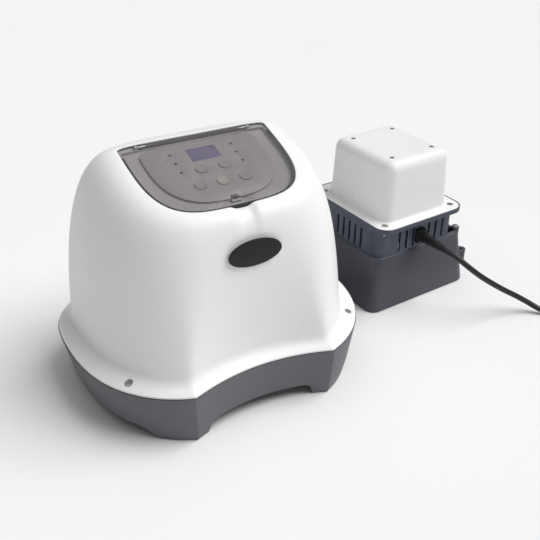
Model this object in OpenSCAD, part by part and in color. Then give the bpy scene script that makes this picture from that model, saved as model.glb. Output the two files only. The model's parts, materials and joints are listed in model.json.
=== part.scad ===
// Salt chlorine generator: a domed control unit that holds the electrolytic
// cell, and the mains power unit that stands beside it with its cord.
// +Z is up, the control panel faces -Y and the hose ports face +Y.

/* [Control unit] */
// Half width of the base rim at the seam
rim_a = 187; // [184:1:190]
// Height of the seam between base and dome flange
seam_z = 66; // [62:1:68]
// Height of the underside of the base floor
floor_z = 18; // [16:1:20]
// Thickness of the moulded base walls
base_wall = 3; // [2.5:0.5:3.5]
// Half width of the dome where it meets its flange
foot_a = 165.5; // [162:0.5:167]
// Height of the dome foot above the floor
foot_z = 78.6; // [77:0.2:80]
// Thickness of the dome wall
dome_wall = 2.6; // [2.2:0.2:3]

/* [Control panel] */
// Slope of the panel in degrees
panel_slope = 16.2; // [15:0.1:18]
// Half width of the opening under the lid
opening_a = 95.6; // [94:0.2:97]
// Half width of the lid
lid_a = 94.4; // [92:0.2:94.4]
// Radius of a key cap
key_r = 7; // [6:0.1:7]
// Travel of a key
key_travel = 0.8; // [0.5:0.1:0.8]

/* [Water path] */
// Outer radius of the hose ports
port_r = 24; // [22:0.5:26]
// Bore radius of the hose ports
port_bore_r = 17; // [15:0.5:18]
// Distance of each hose port from the middle
port_x = 58; // [54:1:62]
// Outer radius of the cell housing
cell_r = 32; // [30:1:34]
// Number of electrode plates
plate_count = 5; // [3:2:7]

/* [Power unit] */
// Height of the lower box
box_h = 82; // [80:1:84]
// Height of the top of the vented housing
vent_h = 132; // [128:1:134]
// Height of the top of the white cover
cover_h = 218; // [212:1:222]
// Width of a vent slot
slot_w = 4; // [3:0.5:4]
// Spacing of the vent slots
slot_pitch = 13; // [12:0.5:14]

/* [Mains cord] */
// Diameter of the cord
cord_d = 8; // [7:0.5:8]
// Number of stacked layers in the coil
coil_layers = 3; // [3:1:3]

/* [Hidden] */
$fn = 48;
eps = 0.01;

// Places of the two units in the whole
unit_x = -121.15;
unit_y = -6.54;
supply_pos = [unit_x + 317.5, unit_y + 61.6, 0];
supply_turn = 4.3;

module at_unit() translate([unit_x, unit_y, 0]) children();
module at_supply() translate(supply_pos) rotate([0, 0, supply_turn]) children();

// ---- outlines --------------------------------------------------------

function spow(v, e) = sign(v) * pow(abs(v), e);

// A point of an oval whose front and back halves have their own reach and fullness.
// o = [half width, middle y, front reach, back reach, front power, back power]
function oval(o, ang) =
    let (c = cos(ang), s = sin(ang), f = c > 0, n = f ? o[4] : o[5])
    [o[0] * spow(s, 2 / n), o[1] - (f ? o[2] : o[3]) * spow(c, 2 / n)];

// Oval of the dome foot, and of the rim at the seam
foot_oval = [foot_a, 52, 197, 54, 2.67, 2.8];
function rim_oval(out) = [rim_a + out, 22, 178.5 + out, 119.4 + out, 2.52, 2.8];

// The front of the unit is hollowed between two corners
corner_x = 92;
corner_ang = 26.3;
hollow = 18;
front_cols = 20;
side_cols = 76;
cols = front_cols + side_cols;
angs = [for (i = [0 : front_cols - 1]) corner_ang * spow(2 * i / front_cols - 1, 1.8),
        for (i = [0 : side_cols - 1]) corner_ang + (360 - 2 * corner_ang) * i / side_cols];

// One point of the rim outline: the hollow front, then the oval from corner to corner
function rim_point(o, cx, ang) =
    let (a = ang > 180 ? ang - 360 : ang, m = abs(a), sd = a < 0 ? -1 : 1,
         start = asin(pow(cx / o[0], o[4] / 2)))
    m <= corner_ang
        ? let (u = pow(sin(m) / sin(corner_ang), 2 / foot_oval[4]),
               y = oval(o, start)[1])
          [sd * cx * u, y + hollow * (1 - u * u)]
        : let (p = oval(o, start + (m - corner_ang) * (180 - start) / (180 - corner_ang)))
          [sd * p[0], p[1]];
function rim_ring(out, z) =
    let (o = rim_oval(out)) [for (a = angs) let (p = rim_point(o, corner_x + out, a)) [p[0], p[1], z]];
function rim_flat(out) = [for (p = rim_ring(out, 0)) [p[0], p[1]]];

// Base outline at height z, drafted inwards to the floor
base_draft = 14;
function base_ring(z) =
    let (s = z / seam_z, o = rim_oval(0), d = base_draft * (1 - s),
         b = [o[0] - d, o[1], o[2] - 3 * (1 - s), o[3] - d * 0.7, o[4], o[5]])
    [for (a = angs) let (p = rim_point(b, corner_x - 3 * (1 - s), a)) [p[0], p[1], z]];
// A ring moved inwards by d, square to its own line
function inset_ring(r, d) =
    let (n = len(r))
    [for (i = [0 : n - 1]) let (t = r[(i + 1) % n] - r[(i + n - 1) % n], q = d / norm(t))
        [r[i][0] - q * t[1], r[i][1] + q * t[0], r[i][2]]];

// ---- lofts -----------------------------------------------------------

function flat_list(l) = [for (a = l) for (b = a) b];
function ring_faces(j, k, n) =
    [for (i = [0 : n - 1]) let (h = (i + 1) % n)
        each [[j * n + i, k * n + i, k * n + h], [j * n + i, k * n + h, j * n + h]]];

// A solid lofted through rings from bottom to top, closed by a flat cap at each end
function middle(ring) = [for (p = ring) 1] * ring / len(ring);
module loft(rings) {
    n = len(rings[0]);
    m = len(rings);
    polyhedron(concat(flat_list(rings), [middle(rings[0]), middle(rings[m - 1])]), concat(
        [for (j = [0 : m - 2]) each ring_faces(j, j + 1, n)],
        [for (i = [0 : n - 1]) [i, (i + 1) % n, m * n]],
        [for (i = [0 : n - 1]) [(m - 1) * n + (i + 1) % n, (m - 1) * n + i, m * n + 1]]));
}

// A shell lofted through rings that go round its section and close on themselves
module ring_shell(rings) {
    n = len(rings[0]);
    m = len(rings);
    polyhedron(flat_list(rings), [for (j = [0 : m - 1]) each ring_faces(j, (j + 1) % m, n)]);
}

// Rounded rectangle of half sizes hx, hy about [cx, cy]
function rounded(hx, hy, r, cx = 0, cy = 0, steps = 6) =
    [for (q = [0 : 3]) for (i = [0 : steps])
        let (a = 90 * (q + i / steps), sx = (q == 0 || q == 3) ? 1 : -1, sy = q < 2 ? 1 : -1)
        [cx + sx * (hx - r) + r * cos(a), cy + sy * (hy - r) + r * sin(a)]];
function at_z(l, z) = [for (p = l) [p[0], p[1], z]];

// ---- control panel frame ---------------------------------------------

// The panel's own frame: x to the right, v up the slope, w out of the panel,
// with its origin at the middle of the display
panel_y = 13.6;
panel_z = 282.2;
module on_panel() at_unit() translate([0, panel_y, panel_z]) rotate([panel_slope, 0, 0]) children();
function panel_point(x, v, w) =
    [x, panel_y + v * cos(panel_slope) - w * sin(panel_slope),
     panel_z + v * sin(panel_slope) + w * cos(panel_slope)];

// Heights along w: dome surface, lid, tray
skin_w = 4;
lid_w = 2.7;
lid_t = 2.4;
tray_w = -2.4;
tray_t = 2.5;
flange_w = 0.8;

// D-shaped outline in the panel plane
function dee(a, front, back, mid = 22, n = 3.7, nb = 6) = [a, mid, front + mid, back - mid, n, nb];
function dee_flat(o, steps = 80) = [for (i = [0 : steps - 1]) oval(o, 360 * i / steps)];
opening_dee = dee(opening_a, 100.2, 32.9);

// ---- dome ------------------------------------------------------------

// Weights of front, side and back at an angle
function by_side(ang, front, side, back) =
    let (c = cos(ang), s = sin(ang))
    (c > 0 ? front : back) * c * c + side * s * s;

top_cap = 294;
cap_soft = 6;
function soft_max(a, b, k) = max(a, b) + k * ln(1 + exp(-abs(a - b) / k));
function soft_min(a, b, k) = -soft_max(-a, -b, k);

// Front scoop: a hollow whose depth falls from the foot to the panel
scoop_y = -110.3;
scoop_curve = 0.00243;
scoop_fade = 285;
function scoop(p) =
    let (h = p[2] - foot_z, c = scoop_curve * max(0, 1 - h / scoop_fade), k = 1 + 4 * h / 160)
    abs(p[0]) > 130 ? p : [p[0], soft_max(p[1], scoop_y - c * p[0] * p[0], k), p[2]];

// Stations up the wall: along the straight lower wall, then round the shoulder
lower_steps = 4;
shoulder_steps = 12;
stations = lower_steps + shoulder_steps;
function bez(a, b, c, d, t) =
    a * pow(1 - t, 3) + b * 3 * pow(1 - t, 2) * t + c * 3 * (1 - t) * t * t + d * pow(t, 3);

// Finger recess in the dome below the middle of the lid's front edge
recess_depth = 4.5;
recess_half = 17;
function edge_w(x, ang) = skin_w - (cos(ang) > 0 ? recess_depth * exp(-pow(x / recess_half * 1.4, 4)) : 0);

function dome_column(ang) =
    let (f = oval(foot_oval, ang), foot = [f[0], f[1], foot_z],
         e = oval(opening_dee, ang), edge = panel_point(e[0], e[1], edge_w(e[0], ang)),
         top = panel_point(e[0], e[1], skin_w),
         d = [edge[0] - f[0], edge[1] - f[1]], u = d / norm(d),
         lean = by_side(ang, 0.2, 0.045, 0.03),
         full = by_side(ang, 0.82, 0.66, 0.86),
         low = by_side(ang, 0.45, 0.08, 0.1),
         slope = tan(panel_slope),
         plane_z = panel_z + skin_w / cos(panel_slope) + (f[1] - panel_y) * slope,
         rise = (plane_z - foot_z) / (1 - u[1] * lean * slope),
         h = soft_min(foot_z + rise, top_cap, cap_soft) - foot_z,
         knee = foot + [u[0] * lean * h, u[1] * lean * h, h],
         bend = foot + (knee - foot) * low)
    [for (j = [0 : lower_steps - 1]) scoop(foot + (bend - foot) * j / lower_steps),
     for (j = [0 : shoulder_steps])
        scoop(bez(bend, bend + (knee - bend) * full, edge + (knee - top) * full, edge, j / shoulder_steps))];

dome_grid = [for (a = angs) dome_column(a)];

// Inner surface, one wall thickness inside the outer one
function grid_normal(i, j) =
    let (a = dome_grid[(i + 1) % cols][j], b = dome_grid[(i + cols - 1) % cols][j],
         c = dome_grid[i][min(j + 1, stations)], d = dome_grid[i][max(j - 1, 0)],
         n = cross(a - b, c - d))
    n / norm(n);
function outer_ring(j) = [for (i = [0 : cols - 1]) dome_grid[i][j]];
function inner_ring(j) = [for (i = [0 : cols - 1]) dome_grid[i][j] - dome_wall * grid_normal(i, j)];
function dropped(ring, z) = [for (p = ring) [p[0], p[1], z]];

flange_z = 66.8;
flange_edge = 2.4;
module dome_body() {
    ring_shell(concat(
        [rim_ring(-1, flange_z), rim_ring(-1, flange_z + flange_edge)],
        [for (j = [0 : stations]) outer_ring(j)],
        [for (j = [stations : -1 : 0]) inner_ring(j)],
        [dropped(inner_ring(0), foot_z - dome_wall), rim_ring(-3.5, flange_z)]));
}

// ---- control unit parts ----------------------------------------------

// Screws through the dome flange
rim_screw_at = [[149, -89], [-149, -89], [148, 95], [-148, 95]];
rim_head_z = 70.5;
boss_low = 47;
screw_r = 2;
head_r = 4;

pad_at = [[101, -113], [-101, -113], [124, 78], [-124, 78]];
pad_r = 10;
pad_h = 3;

// Long low arch: half width, height, rounded at its upper corners
function arch(half, h, r, steps = 6) = concat(
    [[-half - 3, -5], [half + 3, -5], [half + 3, 0]],
    [for (i = [0 : steps]) let (a = 90 * i / steps) [half - r * (1 - cos(a)), h - r + r * sin(a)]],
    [for (i = [0 : steps]) let (a = 90 + 90 * i / steps) [-half + r * (1 + cos(a)), h - r + r * sin(a)]],
    [[-half - 3, 0]]);

// The back bosses are wider, so that they too run into the wall
function boss_r(p) = p[1] > 0 ? 9.7 : 6.5;
module base_outer() loft([inset_ring(base_ring(1), 1.5), for (z = [floor_z, 42, seam_z]) base_ring(z)]);
module base_housing() at_unit() color("#5c5b60") difference() {
    union() {
        difference() {
            base_outer();
            loft([for (z = [floor_z + base_wall, 42, seam_z + 1]) inset_ring(base_ring(z), base_wall)]);
            loft([for (z = [-1, floor_z]) inset_ring(base_ring(z), base_wall + 1)]);
            rotate([90, 0, 0])
                linear_extrude(300) polygon(arch(70, 17, 12));
            rotate([-90, 0, 0]) mirror([0, 1, 0])
                linear_extrude(300) polygon(arch(98, 17, 12));
            translate([-250, -18, 0]) rotate([90, 0, 90])
                linear_extrude(500) polygon(arch(92, 17, 14));
        }
        for (p = rim_screw_at) translate([p[0], p[1], boss_low]) cylinder(r = boss_r(p), h = seam_z - boss_low);
        for (p = pad_at) translate([p[0], p[1], pad_h]) cylinder(r = pad_r + 1, h = floor_z - pad_h + 1);
    }
    for (p = rim_screw_at) translate([p[0], p[1], boss_low + 3]) cylinder(r = screw_r, h = 30);
}

module rubber_feet() at_unit() color("#222225") for (p = pad_at)
    translate([p[0], p[1], 0]) cylinder(r = pad_r, h = pad_h);

seal_t = flange_z - seam_z;
module rim_seal() at_unit() color("#1b1b1d") translate([0, 0, seam_z]) linear_extrude(seal_t) difference() {
    polygon(rim_flat(-0.6));
    polygon(rim_flat(-3));
}

port_z = 118;
gland_z = 96;
module dome_shell() at_unit() color("#f2f2f0") difference() {
    dome_body();
    for (p = rim_screw_at) translate([p[0], p[1], 60]) {
        cylinder(r = screw_r + 0.2, h = 30);
        translate([0, 0, rim_head_z - 60]) cylinder(r = head_r + 0.6, h = 20);
    }
    for (s = [-1, 1]) translate([s * port_x, 80, port_z]) rotate([-90, 0, 0])
        cylinder(r = port_r + 0.4, h = 60);
    translate([0, 80, gland_z]) rotate([-90, 0, 0]) cylinder(r = 7.2, h = 60);
}

module rim_screws() at_unit() color("#b9bcc0") for (p = rim_screw_at) translate([p[0], p[1], 0]) difference() {
    union() {
        translate([0, 0, boss_low + 3]) cylinder(r = screw_r, h = rim_head_z - boss_low - 3);
        translate([0, 0, rim_head_z]) cylinder(r = head_r, h = 2.6);
    }
    translate([0, 0, rim_head_z + 1.4]) for (a = [0, 90]) rotate([0, 0, a])
        translate([-2.4, -0.5, 0]) cube([4.8, 1, 2]);
}

// Oval badge, bent to the scoop it sits on
badge_half = 33;
badge_tall = 16.5;
badge_z = 212;
module badge_plate() at_unit() color("#151516") translate([0, scoop_y, badge_z]) intersection() {
    scale_y = badge_tall / badge_half;
    rotate([90, 0, 0]) translate([0, 0, -6]) linear_extrude(12)
        polygon([for (a = [0 : 7.5 : 359]) [badge_half * cos(a), badge_half * scale_y * sin(a)]]);
    badge_curve_r = 1 / (2 * scoop_curve * (1 - (badge_z - foot_z) / scoop_fade));
    translate([0, -badge_curve_r, -40]) difference() {
        cylinder(r = badge_curve_r - 0.1, h = 80, $fn = 360);
        translate([0, 0, -1]) cylinder(r = badge_curve_r - 1.9, h = 82, $fn = 360);
    }
}

// ---- panel parts -----------------------------------------------------

hinge_v = 28.7;
hinge_w = 2.4;
barrel_r = 2.6;
barrel_half = 69.5;
pin_r = 1;
ear_t = 4;
ear_gap = 0.8;

// Display, indicators and keys in the panel frame
window_half = [18.5, 11.4];
dot_x = 39;
dot_v = [7, -9.3, -25.5];
dot_r = 1.9;
dots = [for (s = [-1, 1]) for (v = dot_v) [s * dot_x, v]];
keys = [["key_upper_left", -14.7, -26.8], ["key_upper_right", 14.7, -26.8],
    ["key_lower_left", -28.2, -52.6], ["key_lower_middle", 0, -52.6], ["key_lower_right", 28.2, -52.6]];
key_gap = 0.4;
stem_r = 2.4;
stem_gap = 0.6;

// Electronics under the tray
board_w = -15.6;
board_t = 1.6;
board_half = [62, 44];
board_mid = -20;
stand_at = [for (x = [-56, 56]) for (v = [-56, 14]) [x, v]];

module tray_dee(grow) polygon(dee_flat(dee(opening_a - 4 + grow, 96.2 + grow, 26 + grow)));
module control_tray() on_panel() color("#8f8c8b") difference() {
    union() {
        translate([0, 0, tray_w - tray_t]) linear_extrude(tray_t) tray_dee(2);
        translate([0, 0, tray_w - tray_t]) linear_extrude(flange_w - tray_w + tray_t) difference() {
            tray_dee(2);
            tray_dee(0);
        }
        translate([0, 0, flange_w - 2]) linear_extrude(2) difference() {
            polygon(dee_flat(dee(opening_a + 0.5, 101, 33.2)));
            tray_dee(1);
        }
        for (s = [-1, 1]) translate([s * (barrel_half + ear_gap + ear_t / 2), hinge_v, 0]) {
            translate([-ear_t / 2, -2.2, tray_w - tray_t]) cube([ear_t, 4.4, hinge_w - tray_w + tray_t]);
            translate([-ear_t / 2, 0, hinge_w]) rotate([0, 90, 0]) cylinder(r = 2.2, h = ear_t);
        }
        for (p = stand_at) translate([p[0], p[1], board_w + board_t])
            cylinder(r = 3.5, h = tray_w - tray_t - board_w - board_t + 0.5);
        translate([-6, -88, tray_w - 0.5]) cube([12, 4, 2.5]);
    }
    translate([-barrel_half - ear_gap, hinge_v - 3.4, -1.2]) cube([2 * (barrel_half + ear_gap), 7, 10]);
    for (s = [-1, 1]) translate([s * (barrel_half + ear_gap + ear_t / 2), hinge_v, hinge_w])
        rotate([0, 90, 0]) cylinder(r = pin_r, h = 2 * ear_t, center = true);
    for (k = keys) translate([k[1], k[2], -20]) cylinder(r = stem_r + stem_gap, h = 30);
    translate([-15, -8, -20]) cube([30, 16, 30]);
    translate([-recess_half - 7, -120, -4]) cube([2 * recess_half + 14, 21.7, 10]);
    for (d = dots) translate([d[0], d[1], -20]) cylinder(r = dot_r, h = 30);
    for (p = stand_at) translate([p[0], p[1], board_w]) cylinder(r = 1.2, h = 9);
}

module keypad_overlay() on_panel() color("#8a8484") translate([0, 0, tray_w]) linear_extrude(-tray_w) difference() {
    polygon(dee_flat(dee(74, 83, 24, 0, 2.8, 5)));
    square(2 * window_half, center = true);
    for (d = dots) translate(d) circle(r = dot_r);
    for (k = keys) translate([k[1], k[2]]) circle(r = key_r + key_gap);
    translate([-4.5, -86]) square([9, 7]);
}

module display_window() on_panel() color("#5d5478") translate([0, 0, tray_w + 0.8]) linear_extrude(-tray_w - 1.2)
    square(2 * window_half, center = true);

module display_module() on_panel() color("#2a2630") {
    translate([-14.5, -7.5, board_w + board_t]) cube([29, 15, tray_w + 0.8 - board_w - board_t]);
}

module indicator_lenses() on_panel() color("#2b2a2e") for (d = dots)
    translate([d[0], d[1], tray_w - tray_t]) cylinder(r = dot_r, h = tray_t - tray_w + 0.2);

// A key: cap, stem through the tray, and the collar that keeps it in
module key(i) on_panel() translate([keys[i][1], keys[i][2], 0]) {
    translate([0, 0, -1.3]) cylinder(r = key_r, h = 2);
    translate([0, 0, 0.5]) difference() {
        cylinder(r = key_r - 0.6, h = 0.5);
        translate([0, 0, -1]) cylinder(r = key_r - 1.6, h = 3);
    }
    translate([0, 0, -8.2]) cylinder(r = stem_r, h = 7.4);
    translate([0, 0, -6.6]) cylinder(r = stem_r + 1.4, h = 1.2);
}
module key_upper_left() color("#8d8789") key(0);
module key_upper_right() color("#8d8789") key(1);
module key_lower_left() color("#8d8789") key(2);
module key_lower_middle() color("#97918c") key(3);
module key_lower_right() color("#8d8789") key(4);

module lid_gasket() on_panel() color("#141415") translate([0, 0, flange_w]) linear_extrude(1.5) difference() {
    polygon(dee_flat(dee(opening_a - 0.5, 99.7, 30)));
    polygon(dee_flat(dee(opening_a - 4, 96.2, 30)));
    translate([-120, 16]) square([240, 40]);
}

notch_r = 19.5;
notch_v = -106.5;
module clear_lid() on_panel() color([0.35, 0.34, 0.36, 0.5]) difference() {
    union() {
        translate([0, 0, lid_w]) linear_extrude(lid_t) difference() {
            union() {
                polygon(dee_flat(dee(lid_a, 99, 27)));
                translate([-barrel_half, 10]) square([2 * barrel_half, hinge_v - 10]);
            }
            translate([0, notch_v]) circle(r = notch_r);
            for (s = [-1, 1]) translate([s * (barrel_half + 3.3) - 3.3, hinge_v - 4]) square([6.6, 9]);
        }
        translate([-barrel_half, hinge_v, hinge_w]) rotate([0, 90, 0]) cylinder(r = barrel_r, h = 2 * barrel_half);
    }
    for (s = [-1, 1]) translate([s * (barrel_half - 5), hinge_v, hinge_w])
        rotate([0, 90, 0]) cylinder(r = pin_r + 0.05, h = 10.2, center = true);
}

module lid_hinge_pins() on_panel() color("#c4c6c8") for (s = [-1, 1])
    translate([s * (barrel_half + ear_gap + ear_t - 7), hinge_v, hinge_w])
        rotate([0, 90, 0]) cylinder(r = pin_r, h = 14, center = true);

module lid_catch() on_panel() color("#2e2d30") translate([-4, -84, tray_w]) {
    cube([8, 3, 4.4]);
    translate([0, 3, 3.2]) cube([8, 1.2, 1.2]);
}

module control_board() on_panel() color("#2f6b46") difference() {
    translate([-board_half[0], board_mid - board_half[1], board_w])
        cube([2 * board_half[0], 2 * board_half[1], board_t]);
    for (p = stand_at) translate([p[0], p[1], board_w - 1]) cylinder(r = 1.6, h = 5);
}
module board_screws() on_panel() color("#b9bcc0") for (p = stand_at) translate([p[0], p[1], 0]) {
    translate([0, 0, board_w - 1.8]) cylinder(r = 2.6, h = 1.8);
    translate([0, 0, board_w]) cylinder(r = 1.2, h = 8.5);
}
module key_switches() on_panel() color("#38383c") for (k = keys) translate([k[1], k[2], board_w + board_t]) {
    translate([-6, -6, 0]) cube([12, 12, 3.6]);
    cylinder(r = 1.75, h = 4.7);
}
module board_relays() on_panel() color("#2d4f8c") {
    for (x = [-44, -22]) translate([x - 9, board_mid - 28, board_w - 15]) cube([18, 15, 15]);
    translate([20, board_mid + 10, board_w - 22]) cylinder(r = 8, h = 22);
    translate([34, board_mid - 30, board_w - 10]) cube([22, 12, 10]);
}

// ---- water path ------------------------------------------------------

cell_y = 34;
cell_half = 84;
cell_bore_r = cell_r - 3;
spigot_end = 90;
spigot_r = port_bore_r + 4;
module along_x() rotate([0, 90, 0]) children();
module along_y() rotate([-90, 0, 0]) children();

module cell_housing() at_unit() color("#dcdcd6") translate([0, cell_y, port_z]) difference() {
    union() {
        translate([-cell_half, 0, 0]) along_x() cylinder(r = cell_r, h = 2 * cell_half);
        for (s = [-1, 1]) translate([s * port_x, 0, 0]) along_y() cylinder(r = spigot_r, h = spigot_end - cell_y);
        translate([port_x, flap_y - cell_y, 0]) cylinder(r = sensor_r + 3, h = sensor_seat);
    }
    translate([-cell_half - 1, 0, 0]) along_x() cylinder(r = cell_bore_r, h = 2 * cell_half - 4);
    for (s = [-1, 1]) translate([s * port_x, 0, 0]) along_y() cylinder(r = port_bore_r, h = 80);
    translate([port_x, flap_y - cell_y, 0]) cylinder(r = sensor_r, h = 60);
}

bracket_x = 28;
module cell_brackets() at_unit() color("#77777c") for (s = [-1, 1]) translate([s * bracket_x, cell_y, 0]) difference() {
    translate([-7, -cell_r - 6, floor_z + base_wall]) cube([14, 2 * cell_r + 12, port_z - floor_z - base_wall]);
    translate([-8, 0, port_z]) along_x() cylinder(r = cell_r, h = 16);
    translate([-8, -cell_r + 4, floor_z + base_wall + 6]) cube([16, 2 * cell_r - 8, 40]);
}

cap_t = 7;
plug_len = 14;
stud_y = 12;
plate_t = 1.2;
plate_pitch = 8;
plate_tall = 40;
plate_len = 112;
groove_x = -cell_half + 6;
module electrode_carrier() at_unit() color("#3c3c40") translate([0, cell_y, port_z]) difference() {
    union() {
        translate([-cell_half - cap_t, 0, 0]) along_x() cylinder(r = cell_r, h = cap_t);
        translate([-cell_half, 0, 0]) along_x() cylinder(r = cell_bore_r - 0.1, h = plug_len);
    }
    translate([groove_x, 0, 0]) along_x() rotate_extrude() translate([cell_bore_r - 2.5, 0]) square([4, 3.4]);
    for (s = [-1, 1]) translate([-cell_half - cap_t - 1, s * stud_y, 0]) along_x() cylinder(r = 2.5, h = 40);
    for (i = [0 : plate_count - 1]) translate([-cell_half + plug_len - 5,
        (i - (plate_count - 1) / 2) * plate_pitch - plate_t / 2, -plate_tall / 2]) cube([10, plate_t, plate_tall]);
}
module electrode_plates() at_unit() color("#6e6f73") translate([0, cell_y, port_z]) for (i = [0 : plate_count - 1])
    translate([-cell_half + plug_len - 5, (i - (plate_count - 1) / 2) * plate_pitch - plate_t / 2, -plate_tall / 2])
        cube([plate_len, plate_t, plate_tall]);
module electrode_terminals() at_unit() color("#b7bac0") for (s = [-1, 1])
    translate([-cell_half - cap_t - 14, cell_y + s * stud_y, port_z]) along_x() {
        cylinder(r = 2.5, h = 14 + cap_t + plug_len - 5);
        translate([0, 0, 8]) cylinder(r = 4.5, h = 5.9, $fn = 6);
    }
// The collar is notched where the inlet spigot leaves the cell
module cell_collar() at_unit() color("#4a4a50") difference() {
    translate([-cell_half - cap_t - 3, cell_y, port_z]) along_x() difference() {
        cylinder(r = cell_r + 5, h = 22);
        translate([0, 0, 3]) cylinder(r = cell_r, h = 30);
        translate([0, 0, -1]) cylinder(r = cell_r - 8, h = 10);
    }
    translate([-port_x, cell_y, port_z]) along_y() cylinder(r = spigot_r + 0.3, h = 60);
}
module cell_o_ring() at_unit() color("#1d1d1f") translate([groove_x, cell_y, port_z]) along_x()
    rotate_extrude() translate([cell_bore_r - 1.25, 1.7]) circle(r = 1.24);

// Leads from the cell terminals to the control board
lead_r = 1.6;
lead_route = [[-105, 0, 118], [-114, 0, 122], [-118, -1, 134], [-114, -4, 158], [-102, -8, 186],
    [-84, -12, 212], [-66, -17, 232]];
lead_end = [-50, -4];
function tube_ring(pts, r, sides, i) =
    let (n = len(pts), t = pts[min(i + 1, n - 1)] - pts[max(i - 1, 0)], d = t / norm(t),
         up = abs(d[2]) > 0.9 ? [1, 0, 0] : [0, 0, 1], a = cross(d, up) / norm(cross(d, up)), b = cross(a, d))
    [for (k = [0 : sides - 1]) pts[i] + r * (cos(360 * k / sides) * a + sin(360 * k / sides) * b)];
module lead_tube(s) {
    v = lead_end[1] + s * 10;
    pts = [for (p = lead_route) [p[0], p[1] + cell_y + s * stud_y, p[2]],
        panel_point(lead_end[0], v, board_w - 14), panel_point(lead_end[0], v, board_w)];
    swept(pts, lead_r, 8);
}
module cell_leads() at_unit() color("#2a2a2c") for (s = [-1, 1]) lead_tube(s);

// Flow sensor: a body screwed into the outlet spigot, and its flap
flap_y = 70;
sensor_r = 10;
sensor_seat = 30;
flap_z = port_z + 8;
flap_pin_r = 1.5;
module flow_sensor_body() at_unit() color("#2f2f33") translate([port_x, flap_y, 0]) difference() {
    union() {
        translate([0, 0, port_z + sensor_seat]) cylinder(r = sensor_r + 3, h = 12);
        translate([0, 0, flap_z + 4]) cylinder(r = sensor_r - 0.1, h = sensor_seat - 4);
        for (s = [-1, 1]) translate([s * 7 - 1.25, -3, flap_z - 3]) cube([2.5, 6, 9]);
    }
    translate([0, 0, flap_z]) along_x() cylinder(r = flap_pin_r + 0.05, h = 30, center = true);
    translate([0, 0, port_z + sensor_seat + 4]) cylinder(r = 6, h = 20);
}
module flow_flap() at_unit() color("#d8b23a") translate([port_x, flap_y, flap_z]) {
    along_x() cylinder(r = flap_pin_r, h = 17, center = true);
    translate([-5, -0.75, -20]) cube([10, 1.5, 20]);
}

// Hose ports: threaded spigots clamped in the back wall of the dome
port_end = 144;
port_flange_y = 93;
module port(s) at_unit() translate([s * port_x, 0, port_z]) along_y() difference() {
    union() {
        translate([0, 0, spigot_end]) cylinder(r = port_r, h = port_end - spigot_end);
        translate([0, 0, port_flange_y]) cylinder(r = port_r + 5, h = 3);
        for (y = [108 : 5 : 118]) translate([0, 0, y]) rotate_extrude()
            polygon([[port_r - 1, 0], [port_r - 1, 4], [port_r, 4], [port_r + 1.6, 2.4], [port_r + 1.6, 1.6], [port_r, 0]]);
    }
    translate([0, 0, spigot_end - 1]) cylinder(r = port_bore_r, h = 80);
    translate([0, 0, spigot_end]) rotate_extrude() translate([port_bore_r + 2, -1]) square([2.6, 3]);
}
module inlet_port() color("#4a4a50") port(-1);
module outlet_port() color("#4a4a50") port(1);
module port_o_rings() at_unit() color("#1d1d1f") for (s = [-1, 1]) translate([s * port_x, spigot_end + 1, port_z])
    along_y() rotate_extrude() translate([port_bore_r + 3.3, 0]) circle(r = 0.99);

// Low-voltage inlet at the back of the dome
module low_voltage_inlet() at_unit() color("#1f1f22") translate([0, 98, gland_z]) along_y() difference() {
    union() {
        cylinder(r = 10, h = 3);
        cylinder(r = 7, h = 20);
        translate([0, 0, 8.4]) cylinder(r = 10, h = 7, $fn = 6);
    }
    translate([0, 0, -1]) cylinder(r = 3, h = 40);
}

// ---- power unit ------------------------------------------------------

box_mid = [8, 3.5];
box_half = [84.5, 76];
box_flare = 10;
box_bevel = 3;
box_wall = 3;
crease_z = box_h - box_bevel;
function box_ring(z, inset) =
    let (f = box_flare * (1 - min(z, crease_z) / crease_z))
    at_z(rounded(box_half[0] + f - inset, box_half[1] + f - inset, max(2, 16 - inset), box_mid[0], box_mid[1]), z);
lug_at = [[100, -68], [100, 75]];
lug_z = [27, 47];
lug_hole_r = 2.5;
boss_at = [87, -62];
boss_top = box_h + 4;
module supply_base() at_supply() color("#55575f") difference() {
    union() {
        loft([box_ring(0, 2), box_ring(2, 0), box_ring(30, 0), box_ring(crease_z, 0), box_ring(box_h, 3)]);
        for (p = lug_at) translate([p[0], p[1], lug_z[0]]) {
            cylinder(r = 7, h = lug_z[1] - lug_z[0]);
            translate([-14, -6, 0]) cube([14, 12, lug_z[1] - lug_z[0]]);
        }
        translate([boss_at[0], boss_at[1], box_h - 30]) cylinder(r = 6, h = boss_top - box_h + 30);
    }
    loft([box_ring(box_wall, box_wall), box_ring(crease_z, box_wall), box_ring(box_h + 1, 9)]);
    for (p = lug_at) translate([p[0], p[1], lug_z[0] - 1]) cylinder(r = lug_hole_r, h = lug_z[1] - lug_z[0] + 2);
    translate([boss_at[0], boss_at[1], box_h - 10]) cylinder(r = screw_r, h = 20);
}
module box_screw() at_supply() color("#b9bcc0") translate([boss_at[0], boss_at[1], 0]) {
    translate([0, 0, box_h - 10]) cylinder(r = screw_r, h = boss_top - box_h + 10);
    translate([0, 0, boss_top]) cylinder(r = head_r, h = 2);
}

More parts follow.
